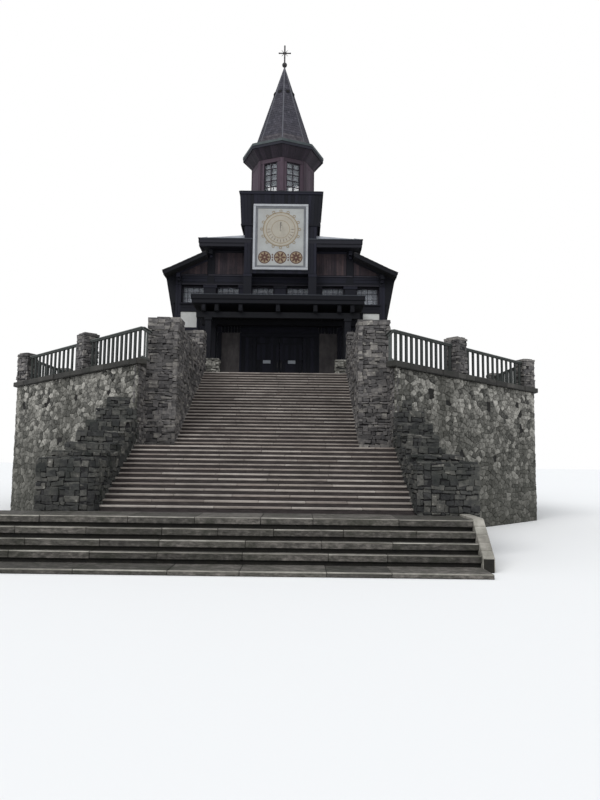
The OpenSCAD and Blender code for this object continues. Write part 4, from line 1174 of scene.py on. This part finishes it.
# ---------------------------------------------------------------- portico
def portico():
    pile = Pile(161)
    low, mid, top = JOIST_TOP, JOIST_TOP + 0.22, PORTICO_TOP
    for wall, a, b in ((face((0, PORTICO_Y), (1, 0)), -PORTICO, PORTICO),
                       (face((PORTICO, 0), (0, 1)), PORTICO_Y, FRONT - 0.02),
                       (face((-PORTICO, 0), (0, -1)), 0.02 - FRONT, -PORTICO_Y)):
        pile.on(wall, a - 0.05, b + 0.05, mid, top - 0.03, -0.02, 0.06)
        pile.on(wall, a, b, low, mid - 0.01, -0.02, 0.02)
        pile.on(wall, a, b, mid - 0.012, mid + 0.01, 0, 0.045)
    # boards under the roof, between the joists
    edges = [-PORTICO + 0.05, -3.99, -3.77, -3.31, -3.09, -2.06, -1.84, -0.11, 0.11, 1.84, 2.06, 3.09, 3.31, 3.77,
             3.99, PORTICO - 0.05]
    deep = FRONT - PORTICO_Y - 0.1
    count = round(deep / 0.2)
    for a, b in zip(edges[0::2], edges[1::2]):
        for i in range(count):
            y0 = PORTICO_Y + 0.05 + deep * i / count
            pile.box((a + 0.005, y0 + 0.004, JOIST_TOP - 0.025), (b - 0.005, y0 + 0.19, JOIST_TOP - 0.002))
    # feet and caps of the posts
    for s in (-1, 1):
        x0, x1 = s * POST - 0.2, s * POST + 0.2
        for y, foot in ((PORTICO_Y + 0.4, HEAD + 0.98), (FRONT - 0.7, HEAD + 0.0)):
            for z0, z1 in ((foot + 0.003, foot + 0.13), (JOIST - 0.44, JOIST - 0.3)):
                pile.box((x0, y - 0.2, z0), (x1, y + 0.2, z1))
    pile.keep("portico_boards", "tarred_beam", "timber", ease=0.008)
    ends = Pile(162)
    for x in (-3.88, -3.2, -1.95, 0, 1.95, 3.2, 3.88):
        ends.box((x - 0.1, PORTICO_Y + 0.05, JOIST + 0.03), (x + 0.1, PORTICO_Y + 0.079, JOIST + 0.37))
        ends.box((x - 0.075, PORTICO_Y + 0.035, JOIST + 0.1), (x + 0.075, PORTICO_Y + 0.055, JOIST + 0.31))
    ends.keep("joist_ends", "tarred_beam", "timber", ease=0.01)
    rim = Pile(165)
    outer, bottom, above = PORTICO + 0.07, PORTICO_TOP - 0.028, PORTICO_TOP + 0.01
    rim.box((-outer, PORTICO_Y - 0.07, bottom), (outer, PORTICO_Y + 0.3, above))
    for s in (-1, 1):
        a, b = mirrored(s, PORTICO - 0.2, outer)
        rim.box((a, PORTICO_Y + 0.3, bottom), (b, FRONT - 0.06, above))
    rim.keep("portico_rim", "rim_metal", "roofing", ease=0.004)
    metal = Pile(163)
    wide, sheets = 2 * PORTICO - 0.4, 12
    for i in range(sheets):
        x = -PORTICO + 0.2 + wide * i / sheets
        metal.box((x + 0.004, PORTICO_Y + 0.3, PORTICO_TOP - 0.002),
                  (x + wide / sheets - 0.004, 4.05, PORTICO_TOP + 0.008))
        if i:
            metal.box((x - 0.015, PORTICO_Y + 0.05, PORTICO_TOP), (x + 0.015, 4.05, PORTICO_TOP + 0.045))
    metal.keep("portico_sheets", "sheet_roof", "roofing", ease=0.004)
    # stones round the blocks under the front posts
    stones = Pile(164)
    y0, z0, z1 = PORTICO_Y - 0.05, HEAD + 0.885, HEAD + 0.99
    for s in (-1, 1):
        lay_courses(stones, flipped(s, corners(3.04, 4.3, PORTICO_Y, PORTICO_Y + 0.7)), HEAD, HEAD + 0.88,
                    closed=True, length=0.3, course=0.13, depth=0.12, proud=0.03, rough=0.014)
        a, b = mirrored(s, 3.04, 4.3)
        for x0, x1 in ((a - 0.05, s * POST - 0.21), (s * POST + 0.21, b + 0.05)):
            stones.box((x0, y0, z0), (x1, PORTICO_Y + 0.75, z1), 0.012)
        stones.box((s * POST - 0.2, y0, z0), (s * POST + 0.2, PORTICO_Y + 0.19, z1), 0.008)
    stones.keep("portico_block_stones", "pale_rubble", "wall_stone", ease=0.016)


portico()


# ---------------------------------------------------------------- roofs of the chapel
def aisle_shingles():
    run = math.hypot(EAVES - NAVE, (EAVES - NAVE) * AISLE_SLOPE)
    lean = math.atan(AISLE_SLOPE)
    courses = 9
    for side in (1, -1):
        pile = Pile(171 if side > 0 else 172)
        for j in range(courses + 1):
            last = j == courses
            s1 = run + 0.05 if last else run * (j + 1) / courses
            s0 = max(0.0, s1 - 1.35 * run / courses)
            y = ROOF_FRONT - 0.04
            while y < ROOF_BACK + 0.02:
                w = pile.chance.uniform(0.13, 0.27)
                if ROOF_BACK + 0.04 - y < 0.34:
                    w = ROOF_BACK + 0.04 - y
                ragged = pile.chance.uniform(-0.025, 0.03)
                middle = (s0 + s1 + ragged) / 2
                place = Matrix.Rotation(side * (lean - 0.035), 4, "Y")
                place.translation = (side * (NAVE + middle * math.cos(lean)), y + w / 2,
                                     AISLE_TOP - middle * math.sin(lean) + 0.03 + (0.012 if last else 0))
                pile.block(place, (s1 + ragged - s0, w - 0.006, 0.045 if last else 0.03))
                y += w
        pile.keep("aisle_shingles_" + label(side), "roof_shingle", "roofing")
        edge = Pile(173)
        for y in (ROOF_FRONT - 0.035, ROOF_BACK + 0.035):
            a = Vector((side * (NAVE + 0.01), y, AISLE_TOP - 0.13))
            b = Vector((side * (EAVES + 0.02), y, AISLE_TOP - 0.13 - (EAVES + 0.01 - NAVE) * AISLE_SLOPE))
            edge.bar(a, b, 0.2, 0.05, (0, 1, 0))
        edge.keep("verge_boards_" + label(side), "tarred_beam", "timber", ease=0.008)


def main_roof_sheets():
    """Metal sheets on the main roof, taken from its own sloping faces."""
    bm = bmesh.new()
    bm.from_mesh(nodes["main_roof"].data)
    bmesh.ops.transform(bm, matrix=nodes["main_roof"].matrix_world, verts=bm.verts[:])
    bm.normal_update()
    away = [f for f in bm.faces if f.normal.z < 0.3 or f.calc_center_median().z < ROOF_EDGE - 0.05]
    bmesh.ops.delete(bm, geom=away, context="FACES")
    bmesh.ops.solidify(bm, geom=bm.faces[:], thickness=-0.012)
    bmesh.ops.recalc_face_normals(bm, faces=bm.faces[:])
    for v in bm.verts:
        v.co.z += 0.001
    keep_outward(bm, "main_roof_sheets", "sheet_roof")


def main_roof_trim():
    """Standing seams and the ridge, then boards and a metal rim round the edge of the main roof."""
    seams = Pile(181)
    slope = MAIN_RISE / MAIN
    count = 26
    for s in (-1, 1):
        for i in range(count + 1):
            y = ROOF_FRONT + 0.05 + (ROOF_BACK - ROOF_FRONT - 0.1) * i / count
            near = min(y - ROOF_FRONT, ROOF_BACK - y)
            high = MAIN * max(0.0, 1 - near / MAIN_RISE)
            if y < BELFRY_BACK + 0.05:
                high = max(high, BELFRY + 0.03)
            if high > MAIN - 0.15:
                continue
            seams.bar((s * high, y, ROOF_EDGE + (MAIN - high) * slope + 0.028), (s * MAIN, y, ROOF_EDGE + 0.028),
                      0.025, 0.04)
    ridge = ROOF_EDGE + MAIN_RISE + 0.03
    seams.bar((0, BELFRY_BACK + 0.05, ridge), (0, ROOF_BACK - MAIN_RISE, ridge), 0.16, 0.04)
    seams.keep("main_roof_seams", "sheet_roof", "roofing", ease=0.004)
    boards, rim = Pile(182), Pile(183)
    for wall, a, b in ((face((0, ROOF_FRONT), (1, 0)), -MAIN, MAIN), (face((0, ROOF_BACK), (-1, 0)), -MAIN, MAIN),
                       (face((MAIN, 0), (0, 1)), ROOF_FRONT, ROOF_BACK),
                       (face((-MAIN, 0), (0, -1)), -ROOF_BACK, -ROOF_FRONT)):
        boards.on(wall, a - 0.05, b + 0.05, SOFFIT + 0.2, ROOF_EDGE - 0.045, -0.01, 0.05)
        boards.on(wall, a, b, SOFFIT + 0.01, SOFFIT + 0.19, -0.01, 0.022)
        rim.on(wall, a - 0.07, b + 0.07, ROOF_EDGE - 0.043, ROOF_EDGE + 0.02, -0.03, 0.07)
    boards.keep("main_roof_fascia", "roof_fascia", "timber", ease=0.01)
    rim.keep("main_roof_rim", "rim_metal", "roofing", ease=0.006)


aisle_shingles()
main_roof_sheets()
main_roof_trim()


# ---------------------------------------------------------------- belfry
def belfry_boards():
    """Upright boards under the drip edge, and over it boards that spread towards the cornice."""
    pile = Pile(191)
    middle = (BELFRY_FRONT + BELFRY_BACK) / 2
    reach = (BELFRY_BACK - BELFRY_FRONT) / 2
    low, high = DRIP + 0.01, LANTERN - 0.01

    def wall_at(turn, out):
        return spun(middle, turn) @ face((0, -out), (1, 0))

    for turn, half, out in ((0, BELFRY, reach), (90, reach, BELFRY), (180, BELFRY, reach), (270, reach, BELFRY)):
        wall = wall_at(turn, out)
        if turn in (90, 270):
            pile.boards(wall, -half, half, ROOF_EDGE + 0.35, DRIP, 0, 0.028, width=0.17)
            count = 25
            for i in range(count):
                u0, u1 = -half + 2 * half * i / count, -half + 2 * half * (i + 1) / count
                made = pile.on(wall, u0 + 0.003, u1 - 0.003, low, high, DRIP_OUT, DRIP_OUT + 0.028)
                reshape(made, wall, DRIP + 1, lambda y: 1.0, CORNICE_OUT - DRIP_OUT)
        else:
            pile.boards(wall, -half, half, BELFRY_FOOT + 0.01 if turn == 0 else ROOF_EDGE + 0.02, DRIP, 0, 0.028,
                        width=0.17)
            count = 24
            for i in range(count):
                u0, u1 = -1 + 2 * i / count, -1 + 2 * (i + 1) / count
                made = pile.on(wall, u0 * (half + DRIP_OUT) + 0.003, u1 * (half + DRIP_OUT) - 0.003, low, high, 0,
                               0.028 + pile.chance.uniform(-0.003, 0.003))
                reshape(made, wall, DRIP + (LANTERN - DRIP) / 2,
                        lambda y: (half + CORNICE_OUT) / (half + DRIP_OUT))
    # drip board and cornice on all four sides; the drip board stops beside the panel
    for z, out, high in ((DRIP - 0.03, DRIP_OUT + 0.04, 0.1), (LANTERN - 0.16, CORNICE_OUT + 0.03, 0.1),
                         (LANTERN - 0.06, CORNICE_OUT + 0.07, 0.075)):
        half = BELFRY + out
        for turn in (0, 180):
            across = [(-half, -1.56), (1.56, half)] if turn == 0 and z < LANTERN - 0.5 else [(-half, half)]
            for a, b in across:
                pile.on(wall_at(turn, reach), a, b, z, z + high, 0, 0.07)
        for turn in (90, 270):
            pile.on(wall_at(turn, BELFRY), -reach, reach, z, z + high, out - 0.06, out)
    y = BELFRY_FRONT
    for s in (-1, 1):
        x = s * (BELFRY - 0.21)
        pile.box((x - 0.225, y - 0.02, PORTICO_TOP + 0.06), (x + 0.225, y + 0.02, BELFRY_FOOT - 0.02))
        pile.box((x - 0.24, y - 0.04, BELFRY_FOOT - 0.16), (x + 0.24, y + 0.44, BELFRY_FOOT - 0.01))
    pile.keep("belfry_boards", "tarred_timber", "red_timber", ease=0.005)
    deck = Pile(192)
    low, high = LANTERN + 0.005, LANTERN + 0.005 + 0.018
    for s in (-1, 1):
        a, b = s * 2.31 - (0 if s < 0 else 0.45), s * 2.31 + (0.45 if s < 0 else 0)
        deck.box((a, BELFRY_FRONT - 0.07, low), (b, BELFRY_BACK + 0.07, high))
    for y in (BELFRY_FRONT - 0.07, BELFRY_BACK - 0.38):
        deck.box((-1.855, y, low), (1.855, y + 0.45, high))
    deck.keep("belfry_deck_sheets", "edge_metal", "roofing", ease=0.004)


belfry_boards()


# ---------------------------------------------------------------- sundial panel
PANEL_FOOT = BELFRY_FOOT + 0.22
PANEL = 1.53
PANEL_H = 3.76
DIAL = PANEL_FOOT + 2.32
dial_face = face((0, BELFRY_FRONT - 0.06), (1, 0))


def disc(bm, r, w0, w1, sides, hole):
    """A flat disc or ring round the origin."""
    made = bmesh.ops.create_circle(bm, cap_ends=not hole, radius=r, segments=sides)["verts"]
    if hole:
        made += bmesh.ops.create_circle(bm, cap_ends=False, radius=hole, segments=sides)["verts"]
        edges = list({e for v in made for e in v.link_edges})
        plates = bmesh.ops.bridge_loops(bm, edges=edges)["faces"]
    else:
        plates = list(made[0].link_faces)
    up = bmesh.ops.extrude_face_region(bm, geom=plates, use_keep_orig=True)["geom"]
    top = [g for g in up if isinstance(g, bmesh.types.BMVert)]
    whole = set(top) | {v for f in plates for v in f.verts}
    for v in whole:
        v.co.z = w0
    for v in top:
        v.co.z = w1
    return whole


def painted(name, look, shapes):
    """Thin discs and rings on the panel: centre, radius, lower and upper face, sides, hole, stretch and turn."""
    bm = bmesh.new()
    for centre, r, w0, w1, sides, hole, stretch, turn in shapes:
        made = disc(bm, r, w0, w1, sides, hole)
        place = (Matrix.Translation((centre[0], centre[1], 0)) @ Matrix.Rotation(turn, 4, "Z")
                 @ Matrix.Diagonal((stretch, 1, 1, 1)))
        bmesh.ops.transform(bm, matrix=place, verts=list(made))
    bmesh.ops.transform(bm, matrix=dial_face, verts=bm.verts[:])
    keep_outward(bm, name, look)


def panel_frames():
    v0, v1 = PANEL_FOOT, PANEL_FOOT + PANEL_H
    pile = Pile(201)
    out, edge, low, high = PANEL + 0.01, PANEL - 0.12, v0 + 0.122, v1 - 0.122
    for a, b, c, d in ((-out, out, v0 - 0.01, v0 + 0.12), (-out, out, v1 - 0.12, v1 + 0.01),
                       (-out, -edge, low, high), (edge, out, low, high)):
        pile.on(dial_face, a, b, c, d, -0.05, 0.05)
    pile.keep("panel_frame", "frame_white", "plaster", ease=0.012)
    pile = Pile(202)
    out, low, high = PANEL - 0.125, v0 + 0.242, v1 - 0.242
    edge = out - 0.115
    for a, b, c, d in ((-out, out, v0 + 0.125, v0 + 0.24), (-out, out, v1 - 0.24, v1 - 0.125),
                       (-out, -edge, low, high), (edge, out, low, high)):
        pile.on(dial_face, a, b, c, d, -0.005, 0.018)
    pile.keep("panel_border", "frame_grey", "plaster", ease=0.004)


def sundial():
    """A plain dial with hour strokes over a row of three rosettes with small lozenges between them."""
    def polar(centre, r, a):
        return (centre[0] + r * math.cos(a), centre[1] + r * math.sin(a))

    dial = (0.0, DIAL)
    rings = [(dial, 1.0, 0.001, 0.006, 48, 0.95, 1, 0), (dial, 0.52, 0.009, 0.012, 40, 0.495, 1, 0),
             (dial, 0.82, 0.009, 0.012, 48, 0.79, 1, 0)]
    rings += [(polar(dial, 1.06, math.radians(90 + 22.5 * k)), 0.085, 0.007, 0.01, 12, 0.05, 1, 0)
              for k in range(16)]
    hours = [(polar(dial, 0.67, a), 0.13, 0.009, 0.012, 4, 0, 0.1, a + math.pi / 2)
             for a in (math.pi * (1 + k / 12) for k in range(13))]
    painted("dial_plate", "pale_paint", [(dial, 0.94, 0.001, 0.008, 48, 0, 1, 0)])
    painted("dial_rings", "ochre_paint", rings)
    painted("dial_hours", "brown_paint", hours)
    rosettes, grounds = [], []
    r = 0.36
    for x, petals in ((-0.88, 8), (0.0, 6), (0.88, 8)):
        centre = (x, PANEL_FOOT + 0.7)
        rosettes.append((centre, r, 0.001, 0.006, 32, r * 0.86, 1, 0))
        grounds.append((centre, r * 0.85, 0.001, 0.005, 32, 0, 1, 0))
        for k in range(petals):
            a = 2 * math.pi * k / petals
            rosettes.append((polar(centre, r * 0.48, a), r * 0.36, 0.006, 0.01, 8, 0, 0.45, a + math.pi / 2))
    rosettes += [((x, PANEL_FOOT + z), 0.07, 0.001, 0.006, 4, 0, 0.7, 0) for x in (-0.44, 0.44)
                 for z in (0.55, 0.7, 0.85)]
    painted("rosettes", "brown_paint", rosettes)
    painted("rosette_grounds", "ochre_paint", grounds)
    rod = Pile(203)
    start = Vector((0, BELFRY_FRONT - 0.055, DIAL + 0.42))
    rod.bar(start, start + Vector((0, -0.32, -0.42)), 0.028, 0.028, (1, 0, 0))
    rod.bar(start + Vector((0, 0, -0.52)), start + Vector((0, -0.3, -0.415)), 0.016, 0.016, (1, 0, 0))
    rod.keep("gnomon", "wrought_iron", "iron", ease=0.003)


panel_frames()
sundial()


# ---------------------------------------------------------------- lantern
APOTHEM = LANTERN_R * math.cos(EIGHTH)
EAVES_APOTHEM = EAVES_R * math.cos(EIGHTH)


def octagon_face(i, out):
    """Local axes of side i of the octagon, out from the tower's axis."""
    return spun(TOWER_Y, 22.5 + 45 * i) @ face((out, 0), (0, 1))


def lantern_boards():
    wood = Pile(211)
    dark = Pile(212)
    half = APOTHEM * TURN
    foot, head = LANTERN + 0.2, SPIRE - 0.8
    window, edge = 0.41, 0.035
    out, rise = EAVES_APOTHEM - 0.06, 0.56
    slant = math.hypot(out - APOTHEM, rise)
    tilt = Matrix.Rotation(math.atan2(out - APOTHEM, rise), 4, "X")
    for i in range(8):
        wall = octagon_face(i, APOTHEM)
        if i in (1, 2, 5, 6):
            for s in (-1, 1):
                wood.boards(wall, *mirrored(s, window + 0.02, half - 0.09), foot, head, 0, 0.02, width=0.12)
            # thin window frame and its bars, two panes wide and five high
            for a, b in ((-window, -window + edge), (window - edge, window), (-0.02, 0.02)):
                dark.on(wall, a, b, foot, head, -0.1, -0.02)
            for k in range(6):
                v = foot + (head - foot) * k / 5
                t = 0.02 if 0 < k < 5 else 0.04
                dark.on(wall, -window + edge, window - edge, max(foot, v - t), min(head, v + t), -0.09, -0.03)
        else:
            wood.boards(wall, -half + 0.09, half - 0.09, foot, head, 0, 0.02, width=0.13)
        dark.on(wall, -half - 0.01, half + 0.01, LANTERN + 0.03, foot + 0.02, 0, 0.045)
        wood.on(wall, -half - 0.01, half + 0.01, head, head + 0.23, 0, 0.03)
        # boards of the cove, from the head band out to the eaves
        cove = wall @ Matrix.Translation((0, SPIRE - rise, 0)) @ tilt
        count = 12
        for k in range(count):
            u0, u1 = -1 + 2 * k / count, -1 + 2 * (k + 1) / count
            made = dark.on(cove, u0 * half + 0.004, u1 * half - 0.004, 0.02, slant - 0.01, 0, 0.014)
            reshape(made, cove, -1, lambda y: 1 + (out * TURN / half - 1) * max(0.0, min(1.0, y / slant)))
        post = spun(TOWER_Y, 45 * i) @ face((LANTERN_R, 0), (0, 1))
        wood.on(post, -0.1, 0.1, foot, head + 0.2, -0.09, 0.03)
        wood.on(post, -0.12, 0.12, foot, foot + 0.12, -0.1, 0.045)
    wood.keep("lantern_boards", "maroon_wood", "red_timber", ease=0.006)
    dark.keep("lantern_bars", "maroon_dark", "red_timber", ease=0.004)
    bm = bmesh.new()
    made = bmesh.ops.create_cone(bm, cap_ends=True, segments=8, radius1=1.52, radius2=1.52, depth=0.04)["verts"]
    bmesh.ops.translate(bm, verts=made, vec=(0, TOWER_Y, SPIRE - 0.74))
    keep_outward(bm, "lantern_ceiling", "pale_ceiling")


lantern_boards()


# ---------------------------------------------------------------- spire
def spire_profile(z):
    """Distance of a face from the axis at z over the eaves."""
    if z <= SKIRT_FOOT:
        return EAVES_APOTHEM
    if z <= SKIRT_TOP:
        return EAVES_APOTHEM + (SKIRT_R - EAVES_APOTHEM) * (z - SKIRT_FOOT) / 0.34
    return SKIRT_R * (SPIRE_H - z) / (SPIRE_H - SKIRT_TOP)


def spire_shingles():
    pile = Pile(221)
    levels = [0.27, 0.36, 0.46, 0.56]
    z = 0.66
    while z < SPIRE_H - 0.35:
        levels.append(z)
        z += 0.17
    for i in range(8):
        for j, z in enumerate(levels):
            top = min(z + (0.13 if z < SKIRT_TOP else 0.24), SPIRE_H - 0.1)
            a0, a1 = spire_profile(z), spire_profile(top)
            slant = math.hypot(a0 - a1, top - z)
            tilt = math.atan2(a0 - a1, top - z)
            wall = octagon_face(i, a0) @ Matrix.Translation((0, SPIRE + z, 0)) @ Matrix.Rotation(-tilt - 0.05, 4, "X")
            half = a0 * TURN - 0.01
            high = a1 * TURN - 0.01
            count = max(1, round(2 * half / 0.17))
            shift = 0.5 if j % 2 else 0.0
            edges = [-half] + [-half + 2 * half * (k + shift) / count for k in range(1, count)] + [half]
            for u0, u1 in zip(edges, edges[1:]):
                if u1 - u0 < 0.02:
                    continue
                made = pile.on(wall, u0 + 0.003, u1 - 0.003, pile.chance.uniform(-0.012, 0.006), slant, 0.008, 0.026,
                               material=1 if z < 0.95 else 0)
                reshape(made, wall, slant / 2, lambda y: max(0.05, high / half))
    pile.keep("spire_shingles", "spire_shingle skirt_shingle", "roofing")


def spire_metal():
    """Metal on the hips, boards and metal at the eaves, and the hoods of the eight vents with painted shade round
    them.
    """
    hips = Pile(222)
    for i in range(8):
        spin = spun(TOWER_Y, 45 * i)
        points = [spin @ Vector((spire_profile(z) * (1 / math.cos(EIGHTH)) + 0.012, 0, SPIRE + z))
                  for z in (0.27, 0.6, 2.4, 4.2, SPIRE_H - 0.06)]
        for a, b in zip(points, points[1:]):
            hips.bar(a, b, 0.07, 0.02, spin.to_3x3() @ Vector((1, 0, 0.3)))
    hips.keep("spire_hips", "hip_metal", "roofing", ease=0.004)
    eaves = Pile(223)
    half = EAVES_APOTHEM * TURN
    for i in range(8):
        wall = octagon_face(i, EAVES_APOTHEM)
        eaves.on(wall, -half - 0.02, half + 0.02, SPIRE + 0.13, SPIRE + 0.285, -0.01, 0.035)
        eaves.on(wall, -half - 0.005, half + 0.005, SPIRE - 0.03, SPIRE + 0.125, -0.01, 0.015, material=1)
    eaves.keep("spire_eaves", "edge_metal roof_fascia", "roofing", ease=0.008)
    vents = Pile(224)
    for i in range(8):
        wall = octagon_face(i, spire_profile(4.21) + 0.055)
        # near-black box round the hood: painted shade for the vent opening
        vents.on(wall, -0.115, 0.115, SPIRE + 4.11, SPIRE + 4.27, -0.12, 0.03, material=1)
        vents.on(wall, -0.09, 0.09, SPIRE + 4.12, SPIRE + 4.24, 0.02, 0.034)
    vents.keep("vent_hoods", "weep_dark roof_fascia", "roofing", ease=0.004)


def finial_tips():
    """Small knobs on the cross, and four thin rays between its arms."""
    top = SPIRE + SPIRE_H
    cross = top + 0.92
    bm = bmesh.new()
    for x, z in ((0, top + 1.39), (-0.34, cross), (0.34, cross), (0, top + 0.46)):
        made = bmesh.ops.create_uvsphere(bm, u_segments=16, v_segments=10, radius=0.045)["verts"]
        bmesh.ops.translate(bm, verts=made, vec=(x, TOWER_Y, z))
    smooth(keep_outward(bm, "finial_knobs", "wrought_iron"))
    rays = Pile(225)
    middle = Vector((0, TOWER_Y, cross))
    for k in range(4):
        way = Vector((math.cos(math.radians(45 + 90 * k)), 0, math.sin(math.radians(45 + 90 * k))))
        rays.bar(middle + way * 0.02, middle + way * 0.27, 0.022, 0.022, (0, 1, 0))
    for arm in (Vector((0.12, 0, 0)), Vector((0, 0, 0.12))):
        rays.bar(middle - arm, middle + arm, 0.09, 0.06, (0, 1, 0))
    rays.keep("finial_rays", "wrought_iron", "iron", ease=0.004)


spire_shingles()
spire_metal()
finial_tips()


# ---------------------------------------------------------------- floor of the chapel
def chapel_floor():
    pile = Pile(231)
    half, plank = 5.5, 0.24
    x = -half
    while x < half - 0.01:
        w = min(plank, half - x)
        pile.box((x + 0.003, FRONT + 0.45, HEAD + 0.001), (x + w - 0.003, BACK - 0.45, HEAD + 0.012))
        x += plank
    pile.keep("floor_planks", "floor_boards", "timber", ease=0.002)


chapel_floor()


# ---------------------------------------------------------------- light, ground and backdrop
def studio():
    """An overcast sky that the camera sees as white, two soft lamps and a pale ground."""
    scene = bpy.context.scene
    scene.view_settings.view_transform = "Standard"
    world = bpy.data.worlds.new("sky")
    scene.world = world
    world.use_nodes = True
    tree = world.node_tree
    soft = tree.nodes["Background"]
    feed(tree, soft, {"Color": (0.93, 0.96, 1.0, 1), "Strength": 0.8})
    clear = node(tree, "Background", 0, {"Color": (1, 1, 1, 1)})
    camera_ray = node(tree, "LightPath", "Is Camera Ray")
    either = node(tree, "Math", 0, {0: camera_ray, 1: camera_ray.node.outputs["Is Transmission Ray"]},
                  operation="MAXIMUM")
    feed(tree, tree.nodes["World Output"],
         {"Surface": node(tree, "MixShader", 0, {"Fac": either, 1: soft.outputs[0], 2: clear})})
    for name, power, angle, turn in (("key", 1.5, 30, (48, 0, -38)), ("fill", 0.5, 60, (60, 0, 50))):
        lamp = bpy.data.lights.new(name, "SUN")
        lamp.energy = power
        lamp.angle = math.radians(angle)
        lamp_object = bpy.data.objects.new(name, lamp)
        lamp_object.rotation_euler = [math.radians(a) for a in turn]
        scene.collection.objects.link(lamp_object)
    bm = bmesh.new()
    bmesh.ops.create_grid(bm, x_segments=1, y_segments=1, size=220)
    bmesh.ops.translate(bm, verts=bm.verts, vec=(0, 60, -0.002))
    mesh = bpy.data.meshes.new("floor")
    bm.to_mesh(mesh)
    bm.free()
    tree, shader = blank("floor_pale")
    feed(tree, shader, {"Base Color": (0.82, 0.82, 0.815, 1), "Roughness": 0.9})
    mesh.materials.append(looks["floor_pale"])
    floor = bpy.data.objects.new("floor", mesh)
    scene.collection.objects.link(floor)


studio()
